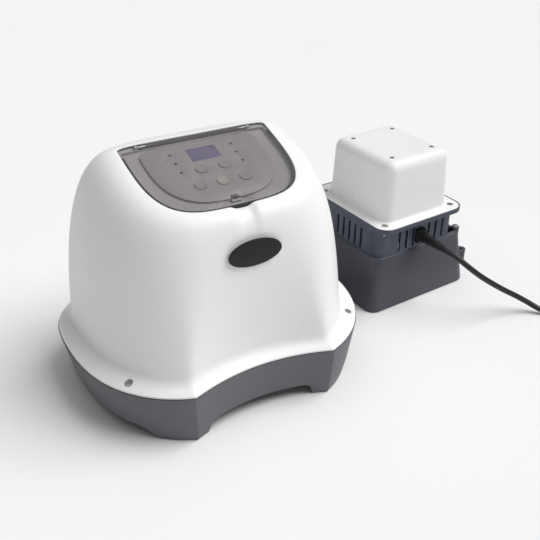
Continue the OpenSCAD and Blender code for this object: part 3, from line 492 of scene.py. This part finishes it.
class SupplySettings(bpy.types.PropertyGroup):
    box_hex: bpy.props.StringProperty(
        name="Box colour", description="sRGB hex colour of the lower box", default="#4b4d55")
    vent_hex: bpy.props.StringProperty(
        name="Vent colour", description="sRGB hex colour of the vent housing", default="#454b59")
    rib_height: bpy.props.FloatProperty(
        name="Rib height", description="How far the cover's fine ribs stand out", default=0.0005,
        unit="LENGTH", subtype="DISTANCE", min=0, max=0.003)


class StageSettings(bpy.types.PropertyGroup):
    light: bpy.props.FloatProperty(
        name="Light", description="Scale of the studio light", default=1.0, min=0.1, max=5, subtype="FACTOR")


# ---- stage -------------------------------------------------------------

LENS_MM = 53.07
CAMERA_AT = (-0.48635, -0.77744, 0.6432)
# Heading, tilt from straight down and roll, in degrees
CAMERA_TURN = (-30.24, 90 - 31.03, 0.82)


def soft_sun(name, strength, toward, spread):
    """A distant light behind a large diffuser; toward points from the object to it."""
    light = bpy.data.lights.new(name, "SUN")
    light.energy = strength
    light.angle = math.radians(spread)
    holder = bpy.data.objects.new(name, light)
    bpy.context.scene.collection.objects.link(holder)
    holder.location = Vector(toward).normalized() * 3
    holder.rotation_mode = "QUATERNION"
    holder.rotation_quaternion = Vector(toward).to_track_quat("Z", "Y")


class CHLOR_OT_stage(bpy.types.Operator):
    """Camera, floor and studio light"""

    bl_idname = "chlor.stage"
    bl_label = "Stage"

    def execute(self, context):
        camera = bpy.data.cameras.new("studio_camera")
        camera.sensor_fit = "HORIZONTAL"
        camera.sensor_width = 36.0
        camera.lens = LENS_MM
        camera.clip_start = 0.05
        camera.clip_end = 50
        holder = bpy.data.objects.new("studio_camera", camera)
        context.scene.collection.objects.link(holder)
        heading, tilt, roll = (math.radians(a) for a in CAMERA_TURN)
        turn = (Matrix.Rotation(heading, 4, "Z") @ Matrix.Rotation(tilt, 4, "X")
                @ Matrix.Rotation(roll, 4, "Z"))
        holder.matrix_world = Matrix.Translation(CAMERA_AT) @ turn
        context.scene.camera = holder

        bpy.ops.object.select_all(action="DESELECT")
        bpy.ops.mesh.primitive_grid_add(x_subdivisions=24, y_subdivisions=24, size=40, location=(0, 0, 0))
        floor = context.object
        floor.name = "studio_floor"
        floor.data.materials.append(backdrop_paper())

        world = bpy.data.worlds.new("studio_air")
        world.use_nodes = True
        back = world.node_tree.nodes["Background"]
        back.inputs["Color"].default_value = (1, 1, 1, 1)
        back.inputs["Strength"].default_value = 0.16
        context.scene.world = world
        k = context.scene.chlorinator_stage.light
        soft_sun("key_through_diffuser", 2.45 * k, (0.62, -0.30, 1.0), 48)
        soft_sun("overhead_diffuser", 0.75 * k, (0.1, 0.15, 1.0), 90)
        context.scene.view_settings.view_transform = "Standard"
        context.scene.view_settings.look = "None"
        context.scene.view_settings.exposure = 0.0
        return {"FINISHED"}


# ---- cord --------------------------------------------------------------


def catmull(points, per):
    """Smooth line through points, with per steps between each two."""
    p = np.array(points, float)
    q = np.vstack([2 * p[0] - p[1], p, 2 * p[-1] - p[-2]])
    out = []
    for i in range(1, len(q) - 2):
        for k in range(per):
            t = k / per
            a, b, c, d = q[i - 1], q[i], q[i + 1], q[i + 2]
            out.append(0.5 * ((2 * b) + (c - a) * t + (2 * a - 5 * b + 4 * c - d) * t * t
                              + (3 * b - a - 3 * c + d) * t ** 3))
    out.append(q[-2])
    return np.array(out)


# The coil's turns as (angle, radius, height): outer, inner, up, out again and up once more
COIL_KEYS = [(224.6, 50, 4), (478, 50, 4), (530, 42, 4), (820, 42, 4), (872, 42, 12), (1130, 42, 12),
             (1182, 50, 12), (1440, 50, 12), (1492, 50, 20), (1800, 50, 20)]


COIL_STEPS = 86
COIL_START = 15


def cord_line():
    """The cord's whole line in millimetres: the route, the wound coil, then the tail to the plug."""
    first = COIL_KEYS[0][0] + COIL_START
    last = COIL_KEYS[-1][0]
    coil = []
    for angle in np.arange(first, last + 0.1, (last - first) / COIL_STEPS):
        k = max(i for i in range(len(COIL_KEYS) - 1) if COIL_KEYS[i][0] <= angle + 1e-6)
        (a0, r0, z0), (a1, r1, z1) = COIL_KEYS[k], COIL_KEYS[k + 1]
        f = min(1.0, (angle - a0) / (a1 - a0))
        f = f * f * (3 - 2 * f)
        r = r0 + (r1 - r0) * f
        q = math.radians(angle)
        coil.append((COIL_MID[0] + r * math.cos(q), COIL_MID[1] + r * math.sin(q), z0 + (z1 - z0) * f))
    return np.array(CORD_ROUTE + coil + CORD_TAIL[1:])


class CHLOR_OT_cord(bpy.types.Operator):
    """Mains cord in one length, with its coil and tie"""

    bl_idname = "chlor.cord"
    bl_label = "Mains cord"

    def execute(self, context):
        line = catmull(cord_line(), 3)
        curve = bpy.data.curves.new("mains_cord_run", "CURVE")
        curve.dimensions = "3D"
        spline = curve.splines.new("NURBS")
        spline.points.add(len(line) - 1)
        points = np.column_stack([line * MM, np.ones(len(line))])
        spline.points.foreach_set("co", points.astype(np.float32).ravel())
        spline.order_u = 4
        spline.use_endpoint_u = True
        spline.resolution_u = 3
        curve.bevel_depth = 0.00398
        curve.bevel_resolution = 5
        curve.use_fill_caps = True
        cord = bpy.data.objects.new("mains_cord_run", curve)
        context.scene.collection.objects.link(cord)
        sheath = moulded("extruded_black_pvc", "#17171a", rough=0.42, grain_mm=0.9, grain=0.05, mottle=0.12,
                         rough_vary=0.08, spec=0.5)
        cord.data.materials.append(sheath)
        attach(cord, HOUSINGS)
        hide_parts("mains_cord", "cord_coil")
        strap = moulded("hook_and_loop_strap", "#232326", rough=0.8, grain_mm=0.5, grain=0.5, mottle=0.15,
                        rough_vary=0.03, spec=0.2)
        tie = refined("coil_tie", strap, 0.4)
        moulding = moulded("moulded_black_pvc", "#1a1a1d", rough=0.4, grain_mm=0.7, grain=0.08, mottle=0.08)
        plug = refined("plug_body", moulding, 1.6, 3)
        pins = refined("plug_pins", metal("plated_nickel", "#c9c9cb", rough=0.18), 0.25)
        return {"FINISHED"}


# ---- dome --------------------------------------------------------------


def soft_max(a, b, k):
    """The larger of two values, rounded over a width of k where they cross."""
    return np.maximum(a, b) + k * np.log1p(np.exp(-np.abs(a - b) / k))


def bez(a, b, c, d, t):
    """Point on a cubic Bezier curve."""
    return a * (1 - t) ** 3 + b * 3 * (1 - t) ** 2 * t + c * 3 * (1 - t) * t * t + d * t ** 3


def scoop(p):
    """The hollow in the dome's front, deepest at the foot, its edges sharper low down."""
    h = p[:, 2] - FOOT_Z
    c = 0.00243 * np.maximum(0, 1 - h / 285)
    k = 2.0 + 6.0 * np.maximum(h, 0) / 160
    y = soft_max(p[:, 1], -110.3 - c * p[:, 0] ** 2, k)
    blend = np.clip((130 - np.abs(p[:, 0])) / 4, 0, 1)
    out = p.copy()
    out[:, 1] = p[:, 1] + (y - p[:, 1]) * blend
    return out


def edge_w(x, deg):
    """Height of the opening's edge over the panel, dipped where a finger reaches the lid."""
    return 4.0 - np.where(np.cos(np.radians(deg)) > 0, 4.5 * np.exp(-np.abs(x / 17 * 1.4) ** 4), 0)


def weigh(deg, front, side, back):
    """Blends three values round the dome."""
    c = np.cos(np.radians(deg))
    s = np.sin(np.radians(deg))
    return np.where(c > 0, front, back) * c * c + side * s * s


def dome_rings(angs, low_steps=14, high_steps=44):
    """Rings up the dome's outside, from the foot to the edge of the panel's opening."""
    f = oval(FOOT_OVAL, angs)
    foot = np.column_stack([f, np.full(len(f), FOOT_Z)])
    e = oval(dee(95.6, 100.2, 32.9), angs)
    edge = panel_mm(np.column_stack([e, edge_w(e[:, 0], angs)]))
    top = panel_mm(np.column_stack([e, np.full(len(e), 4.0)]))
    d = edge[:, :2] - f
    u = d / np.linalg.norm(d, axis=1)[:, None]
    # How far the wall leans in, how full its shoulder is and how high the straight part goes
    lean = weigh(angs, 0.2, 0.045, 0.03)
    full = weigh(angs, 0.82, 0.66, 0.86)
    low = weigh(angs, 0.45, 0.08, 0.1)
    slope = math.tan(SLOPE)
    plane_z = PANEL[1] + 4.0 / math.cos(SLOPE) + (f[:, 1] - PANEL[0]) * slope
    rise = (plane_z - FOOT_Z) / (1 - u[:, 1] * lean * slope)
    h = -soft_max(-(FOOT_Z + rise), np.full(len(f), -294.0), 6.0) - FOOT_Z
    knee = foot + np.column_stack([u[:, 0] * lean * h, u[:, 1] * lean * h, h])
    bend = foot + (knee - foot) * low[:, None]
    rings = [scoop(foot + (bend - foot) * j / low_steps) for j in range(low_steps)]
    for j in range(high_steps + 1):
        up = bend + (knee - bend) * full[:, None]
        over = edge + (knee - top) * full[:, None]
        rings.append(scoop(bez(bend, up, over, edge, j / high_steps)))
    return rings


FLANGE_THICK = 2.4
FLANGE_ROUND = 0.9
DOME_WALL = 2.6


def flange_rings(rim, foot, fillet):
    """The flange from its underside, round its rim and in to where the fillet starts, and that start."""
    away = rim - foot
    dist = np.linalg.norm(away, axis=1)[:, None]
    step = away / dist
    straight = FLANGE_THICK - FLANGE_ROUND
    rings = [lifted(rim, FLANGE_Z), lifted(rim, FLANGE_Z + straight)]
    for a in (30, 60, 90):
        rise = FLANGE_ROUND * math.sin(math.radians(a))
        back = FLANGE_ROUND * (1 - math.cos(math.radians(a)))
        rings.append(lifted(rim - step * back, FLANGE_Z + straight + rise))
    edge_z = FLANGE_Z + FLANGE_THICK
    outer = rim - step * FLANGE_ROUND
    start = foot + step * np.minimum(fillet, dist * 0.6)
    for k in range(1, 7):
        xy = outer + (start - outer) * k / 6
        slope = np.linalg.norm(xy - rim, axis=1) / dist[:, 0]
        rings.append(np.column_stack([xy, edge_z + (FOOT_Z - 0.6 - edge_z) * slope]))
    return rings, rings[-1]


def fillet_rings(start, corner, meet):
    """A soft fillet from the flange, past the sharp corner, to where it meets the wall."""
    rings = []
    for k in range(1, 8):
        t = k / 8
        rings.append(start * (1 - t) ** 2 + corner * 2 * (1 - t) * t + meet * t * t)
    return [*rings, meet]


def wall_at(rings, height):
    """The wall's line at a height, read between its lowest rings."""
    low = np.array(rings[:24])
    count = low.shape[1]
    return np.array([[np.interp(height, low[:, i, 2], low[:, i, k]) for k in range(3)] for i in range(count)])


def opening_rings(edge):
    """A rounded edge at the panel's opening, down to the skin's thickness."""
    inward = np.array([0, math.sin(SLOPE), -math.cos(SLOPE)])
    toward = edge.mean(0) - edge
    toward[:, 2] = 0
    toward /= np.linalg.norm(toward, axis=1)[:, None]
    rings = []
    for a in (25, 50, 75, 90):
        s = math.sin(math.radians(a))
        c = math.cos(math.radians(a))
        rings.append(edge + toward * 0.5 * s + inward * 0.5 * (1 - c))
    return [*rings, edge + toward * 0.5 + inward * 1.6]


def inside_rings(level):
    """The inner skin from the opening down to the foot, one wall's thickness in."""
    rings = []
    for j in range(len(level) - 3, -1, -4):
        along = np.roll(level[j], -1, 0) - np.roll(level[j], 1, 0)
        up = level[min(j + 1, len(level) - 1)] - level[max(j - 1, 0)]
        n = np.cross(along, up)
        n /= np.linalg.norm(n, axis=1)[:, None]
        rings.append(level[j] - DOME_WALL * n)
    foot = rings[-1].copy()
    foot[:, 2] = FOOT_Z - DOME_WALL
    return [*rings, foot]


def back_hole(name, radius, x, z, steps):
    """A round cutter through the dome's back wall."""
    c = circle(radius, x, z, steps)
    return skin(name, [np.column_stack([c[:, 0], np.full(steps, y), c[:, 1]]) for y in (84, 150)], at_unit)


class CHLOR_OT_dome(bpy.types.Operator):
    """White dome with its flange, fillet and openings"""

    bl_idname = "chlor.dome"
    bl_label = "Dome"

    def execute(self, context):
        wall = dome_rings(ANGS)
        fillet = context.scene.chlorinator_shell.foot_fillet / MM
        meet_z = FOOT_Z + fillet * 0.9
        rim = rim_line(rim_oval(-1.0), CORNER_X - 1.0, ANGS)
        flange, start = flange_rings(rim, wall[0][:, :2], fillet)
        # Above the fillet the wall's own line takes over
        level = [ring for ring in wall if ring[:, 2].min() > meet_z]
        rings = [*flange, *fillet_rings(start, wall[0], wall_at(wall, meet_z)), *level]
        rings += [*opening_rings(level[-1]), *inside_rings(level)]
        rings.append(lifted(rim_line(rim_oval(-3.5), CORNER_X - 3.5, ANGS), FLANGE_Z))
        dome = skin("dome_shell_moulding", rings, at_unit, closed=True)
        for x, y in RIM_SCREWS:
            cut(dome, prism("well", circle(4.9, x, y), 70.5, 96, at_unit))
        for side in (-1, 1):
            cut(dome, back_hole("port_hole", 24.4, side * PORT_X, PORT_Z, 64))
        cut(dome, back_hole("gland_hole", 7.3, 0, 96, 40))
        smooth(dome, 40)
        finish_piece(dome, white_asa(), HOUSINGS, "dome_shell")
        return {"FINISHED"}


class CHLOR_OT_base(bpy.types.Operator):
    """Slate base, its feet, seal and rim screws"""

    bl_idname = "chlor.base"
    bl_label = "Base"

    def execute(self, context):
        refined("base_housing", slate_abs(), 0.5)
        refined("rubber_feet", rubber(), 0.5)
        refined("rim_seal", rubber(), 0.0)
        refined("rim_screws", screw_steel(), 0.25)
        return {"FINISHED"}


class CHLOR_OT_badge(bpy.types.Operator):
    """Plain oval badge"""

    bl_idname = "chlor.badge"
    bl_label = "Badge"

    def execute(self, context):
        gloss = moulded("lacquered_badge_black", "#08080a", rough=0.22, grain_mm=0.8, grain=0.02, mottle=0.2,
                        rough_vary=0.03, spec=0.35)
        refined("badge_plate", gloss, 0.45, 3)
        return {"FINISHED"}


class CHLOR_OT_panel_parts(bpy.types.Operator):
    """Tray, keypad film, display, indicators and keys"""

    bl_idname = "chlor.panel_parts"
    bl_label = "Control panel"

    def execute(self, context):
        tray = moulded("moulded_warm_grey_abs", "#999694", rough=0.45, grain_mm=0.7, grain=0.06)
        film = moulded("printed_polyester_film", "#8e8888", rough=0.38, grain_mm=1.2)
        window = moulded("tinted_display_film", "#5a5277", rough=0.14, grain_mm=1.0, grain=0.01, mottle=0.06,
                         rough_vary=0.03, spec=0.5, coat=0.3)
        lens = moulded("moulded_smoked_lens", "#2a292e", rough=0.18, grain_mm=0.5, grain=0.02, mottle=0.1,
                       rough_vary=0.03, spec=0.5)
        grey_key = moulded("moulded_silicone_key_grey", "#8b8588", rough=0.5, grain=0.06)
        pale_key = moulded("moulded_silicone_key_pale", "#a19a93", rough=0.5, grain=0.06)
        refined("control_tray", tray, 0.3)
        refined("keypad_overlay", film, 0.2)
        refined("display_window", window, 0.25)
        refined("indicator_lenses", lens, 0.15)
        for name in ("upper_left", "upper_right", "lower_left", "lower_right"):
            refined("key_" + name, grey_key, 0.22)
        refined("key_lower_middle", pale_key, 0.22)
        refined("lid_catch", black_part(), 0.3)
        return {"FINISHED"}


class CHLOR_OT_lid(bpy.types.Operator):
    """Smoked clear lid, its black gasket and hinge pins; the gasket's black also stands in for painted shade,
    the shadow in the gap round the lid's edge
    """

    bl_idname = "chlor.lid"
    bl_label = "Lid"

    def execute(self, context):
        # The gasket is a real seal, and its black rubber also paints the shadow in the gap round the lid's
        # edge
        refined("lid_gasket", rubber(), 0.3)
        refined("clear_lid", smoked_acrylic(), 0.45, 2)
        refined("lid_hinge_pins", screw_steel(), 0.15)
        return {"FINISHED"}


class CHLOR_OT_ports(bpy.types.Operator):
    """Hose ports and the low-voltage inlet at the back"""

    bl_idname = "chlor.ports"
    bl_label = "Hose ports"

    def execute(self, context):
        grey = moulded("moulded_port_grey_abs", "#4a4a50", rough=0.45, grain_mm=0.7, grain=0.08, mottle=0.05)
        refined("inlet_port", grey, 0.35)
        refined("outlet_port", grey, 0.35)
        refined("low_voltage_inlet", black_part(), 0.3)
        return {"FINISHED"}


class CHLOR_OT_supply(bpy.types.Operator):
    """Power unit: lower box, vent housing, gasket, screws and low-voltage outlet"""

    bl_idname = "chlor.supply"
    bl_label = "Power unit"

    def execute(self, context):
        colours = context.scene.chlorinator_supply
        box = moulded("moulded_box_grey_abs", colours.box_hex, rough=0.48, grain_mm=0.7, grain=0.10,
                      mottle=0.05)
        vents = moulded("moulded_vent_slate_abs", colours.vent_hex, rough=0.5, grain_mm=0.7, grain=0.10,
                        mottle=0.05)
        refined("supply_base", box, 0.8, 3)
        refined("supply_vent_housing", vents, 0.4)
        refined("supply_gasket", rubber(), 0.0)
        refined("cover_flange_screws", screw_steel(), 0.2)
        refined("cover_top_screws", screw_steel(), 0.15)
        refined("box_screw", screw_steel(), 0.2)
        refined("low_voltage_outlet", black_part(), 0.3)
        return {"FINISHED"}


def cover_ring(z, inset=0.0):
    """Section of the cover block at a height: straight walls, then a quarter round."""
    bend = COVER_TOP_Z - COVER_ROUND
    t = min(1.0, (z - 132.0) / (bend - 132))
    up = max(0.0, z - bend)
    e = inset + COVER_ROUND - math.sqrt(max(0.0, COVER_ROUND ** 2 - up * up))
    hx = COVER_FOOT[0] + (COVER_TOP[0] - COVER_FOOT[0]) * t
    hy = COVER_FOOT[1] + (COVER_TOP[1] - COVER_FOOT[1]) * t
    return rounded(hx - e, hy - e, max(3.0, COVER_CORNER - e), steps=12)


def cover_round(angles, inset=0.0):
    """Rings over the cover's rounded top edge."""
    rings = []
    for a in angles:
        z = COVER_TOP_Z - COVER_ROUND + COVER_ROUND * math.sin(math.radians(a))
        rings.append(lifted(cover_ring(min(z, COVER_TOP_Z - 1e-4), inset), z))
    return rings


def cover_outside():
    """The cover's outside: flange, small fillet, block and flat top."""
    flange = rounded(76.2, 83.5, 19, 0, 1, steps=12)
    rings = [lifted(flange, 128.5), lifted(flange, 131.2)]
    for a in (30, 60, 90):
        back = 0.8 * (1 - math.cos(math.radians(a)))
        edge = rounded(76.2 - back, 83.5 - back, 18.5, 0, 1, 12)
        rings.append(lifted(edge, 131.2 + 0.8 * math.sin(math.radians(a))))
    # A small fillet where the block rises from its flange
    for k in range(6):
        q = math.radians(90 * k / 5)
        grow = 3.0 * (1 - math.sin(q))
        foot = rounded(COVER_FOOT[0] + grow, COVER_FOOT[1] + grow, COVER_CORNER + grow, steps=12)
        rings.append(lifted(foot, 132.0 + 3.0 * (1 - math.cos(q))))
    rings += [lifted(cover_ring(z), z) for z in np.linspace(137, 203, 12)]
    rings += cover_round(np.linspace(6, 90, 15))
    top = rounded(40, 46, 3, steps=12)
    return [*rings, lifted(top, COVER_TOP_Z), lifted(top * 0.5, COVER_TOP_Z)]


def cover_hollow():
    """The space inside the cover."""
    foot = rounded(COVER_FOOT[0] - COVER_WALL, COVER_FOOT[1] - COVER_WALL, 11, steps=12)
    rings = [lifted(foot, 120), lifted(foot, 140)]
    rings += [lifted(cover_ring(z, COVER_WALL), z - COVER_WALL) for z in np.linspace(150, 203, 5)]
    return rings + [ring - [0, 0, COVER_WALL] for ring in cover_round(np.linspace(15, 90, 6), COVER_WALL)]


def cover_rib(y, height):
    """One fine upright rib on the cover's left face."""
    ends = []
    for z in (140, 205):
        x = -(COVER_FOOT[0] + (COVER_TOP[0] - COVER_FOOT[0]) * min(1, (z - 132) / 71))
        ends.append(np.array([(x + 0.6, y - 0.9, z), (x + 0.6, y + 0.9, z), (x - height * 0.7, y + 0.55, z),
                              (x - height, y, z), (x - height * 0.7, y - 0.55, z)]))
    return skin("rib", ends, at_supply)


class CHLOR_OT_cover(bpy.types.Operator):
    """White cover of the power unit, with faint ribs down its left face"""

    bl_idname = "chlor.cover"
    bl_label = "Cover"

    def execute(self, context):
        height = context.scene.chlorinator_supply.rib_height / MM
        outside = skin("supply_cover_moulding", cover_outside(), at_supply)
        cut(outside, skin("cover_hollow", cover_hollow(), at_supply))
        for x, y in FLANGE_SCREWS:
            cut(outside, prism("flange_well", circle(4.8, x, y, 40), 130, 140, at_supply))
        for x, y in TOP_SCREWS:
            cut(outside, prism("top_well", circle(3.5, x, y, 40), 216.6, 225, at_supply))
        ribs = [cover_rib(RIB_GAP * i - 34, height) for i in range(RIBS)]
        cover = joined("supply_cover_moulding", outside, *ribs)
        smooth(cover)
        plastic = moulded("moulded_white_abs_cover", "#f1f1f0", grain_mm=0.8, grain=0.04, mottle=0.01,
                          rough_vary=0.04, spec=0.4)
        finish_piece(cover, plastic, HOUSINGS, "supply_cover")
        return {"FINISHED"}


class CHLOR_OT_cord_exit(bpy.types.Operator):
    """Cord gland and ribbed strain relief"""

    bl_idname = "chlor.cord_exit"
    bl_label = "Cord gland and grip"

    def execute(self, context):
        refined("cord_gland", black_part(), 0.35)
        soft_black = moulded("moulded_black_tpe", "#151517", rough=0.5, grain_mm=0.7, grain=0.08, mottle=0.1)
        refined("cord_grip", soft_black, 0.35)
        return {"FINISHED"}


class CHLOR_OT_inside(bpy.types.Operator):
    """Parts inside the housings"""

    bl_idname = "chlor.inside"
    bl_label = "Inside parts"

    def execute(self, context):
        green = moulded("coated_circuit_board", "#245c3a", rough=0.35, grain_mm=1.5, grain=0.1, mottle=0.12)
        dark = moulded("moulded_dark_grey_pvc", "#3d3d42", rough=0.45, grain_mm=0.8, grain=0.08, mottle=0.06)
        finishes = {
            "display_module": black_part(),
            "control_board": green,
            "rectifier_board": green,
            "board_screws": screw_steel(),
            "key_switches": black_part(),
            "board_relays": moulded("moulded_blue_pbt", "#2d5392", rough=0.4, grain_mm=0.8, grain=0.06,
                                    mottle=0.05),
            "cell_housing": moulded("moulded_white_pvc", "#e4e4df", rough=0.35, grain_mm=0.8, grain=0.04),
            "cell_brackets": dark,
            "electrode_carrier": dark,
            "cell_collar": dark,
            "electrode_plates": metal("coated_titanium", "#6a6a6e", rough=0.42),
            "electrode_terminals": screw_steel(),
            "cell_o_ring": rubber(),
            "port_o_rings": rubber(),
            "cell_leads": moulded("extruded_lead_pvc", "#1d1d20", rough=0.45, grain_mm=0.8, mottle=0.1),
            "flow_sensor_body": black_part(),
            "flow_flap": moulded("moulded_yellow_pom", "#d6b038", rough=0.35, grain_mm=0.8, mottle=0.04),
            "transformer_frame": metal("zinc_plated_steel", "#a4a6a9", rough=0.35),
            "transformer_core": moulded("varnished_steel_laminations", "#4a4b4e", rough=0.35, grain_mm=0.5,
                                        grain=0.25, mottle=0.1, rough_vary=0.08),
            "transformer_coil": moulded("enamelled_copper_winding", "#a4562a", rough=0.3, grain_mm=0.5,
                                        grain=0.3, mottle=0.15, rough_vary=0.08),
            "heat_sink": metal("extruded_aluminium", "#b6b8bc", rough=0.35),
            "terminal_block": moulded("moulded_cream_pa", "#e1ded6", grain_mm=0.8),
            "fuse_holder": black_part(),
        }
        for name, material in finishes.items():
            dress(name, material)
        return {"FINISHED"}


class CHLOR_PT_sidebar(bpy.types.Panel):
    """Lists the pieces and their settings"""

    bl_idname = "CHLOR_PT_sidebar"
    bl_label = "Salt chlorine generator"
    bl_space_type = "VIEW_3D"
    bl_region_type = "UI"
    bl_category = "Chlorinator"

    def draw(self, context):
        for op in OPERATORS:
            self.layout.operator(op.bl_idname)
        scene = context.scene
        for group in (scene.chlorinator_shell, scene.chlorinator_supply, scene.chlorinator_stage):
            for key in group.bl_rna.properties.keys():
                if key not in ("rna_type", "name"):
                    self.layout.prop(group, key)


OPERATORS = (
    CHLOR_OT_stage, CHLOR_OT_cord, CHLOR_OT_dome, CHLOR_OT_base, CHLOR_OT_badge, CHLOR_OT_panel_parts,
    CHLOR_OT_lid, CHLOR_OT_ports, CHLOR_OT_supply, CHLOR_OT_cover, CHLOR_OT_cord_exit, CHLOR_OT_inside,
)
CLASSES = (ShellSettings, SupplySettings, StageSettings, *OPERATORS, CHLOR_PT_sidebar)


def register():
    for c in CLASSES:
        bpy.utils.register_class(c)
    bpy.types.Scene.chlorinator_shell = bpy.props.PointerProperty(type=ShellSettings)
    bpy.types.Scene.chlorinator_supply = bpy.props.PointerProperty(type=SupplySettings)
    bpy.types.Scene.chlorinator_stage = bpy.props.PointerProperty(type=StageSettings)


def unregister():
    del bpy.types.Scene.chlorinator_shell
    del bpy.types.Scene.chlorinator_supply
    del bpy.types.Scene.chlorinator_stage
    for c in reversed(CLASSES):
        bpy.utils.unregister_class(c)


def main():
    register()
    for op in OPERATORS:
        group, name = op.bl_idname.split(".")
        getattr(getattr(bpy.ops, group), name)()


if __name__ == "__main__":
    main()
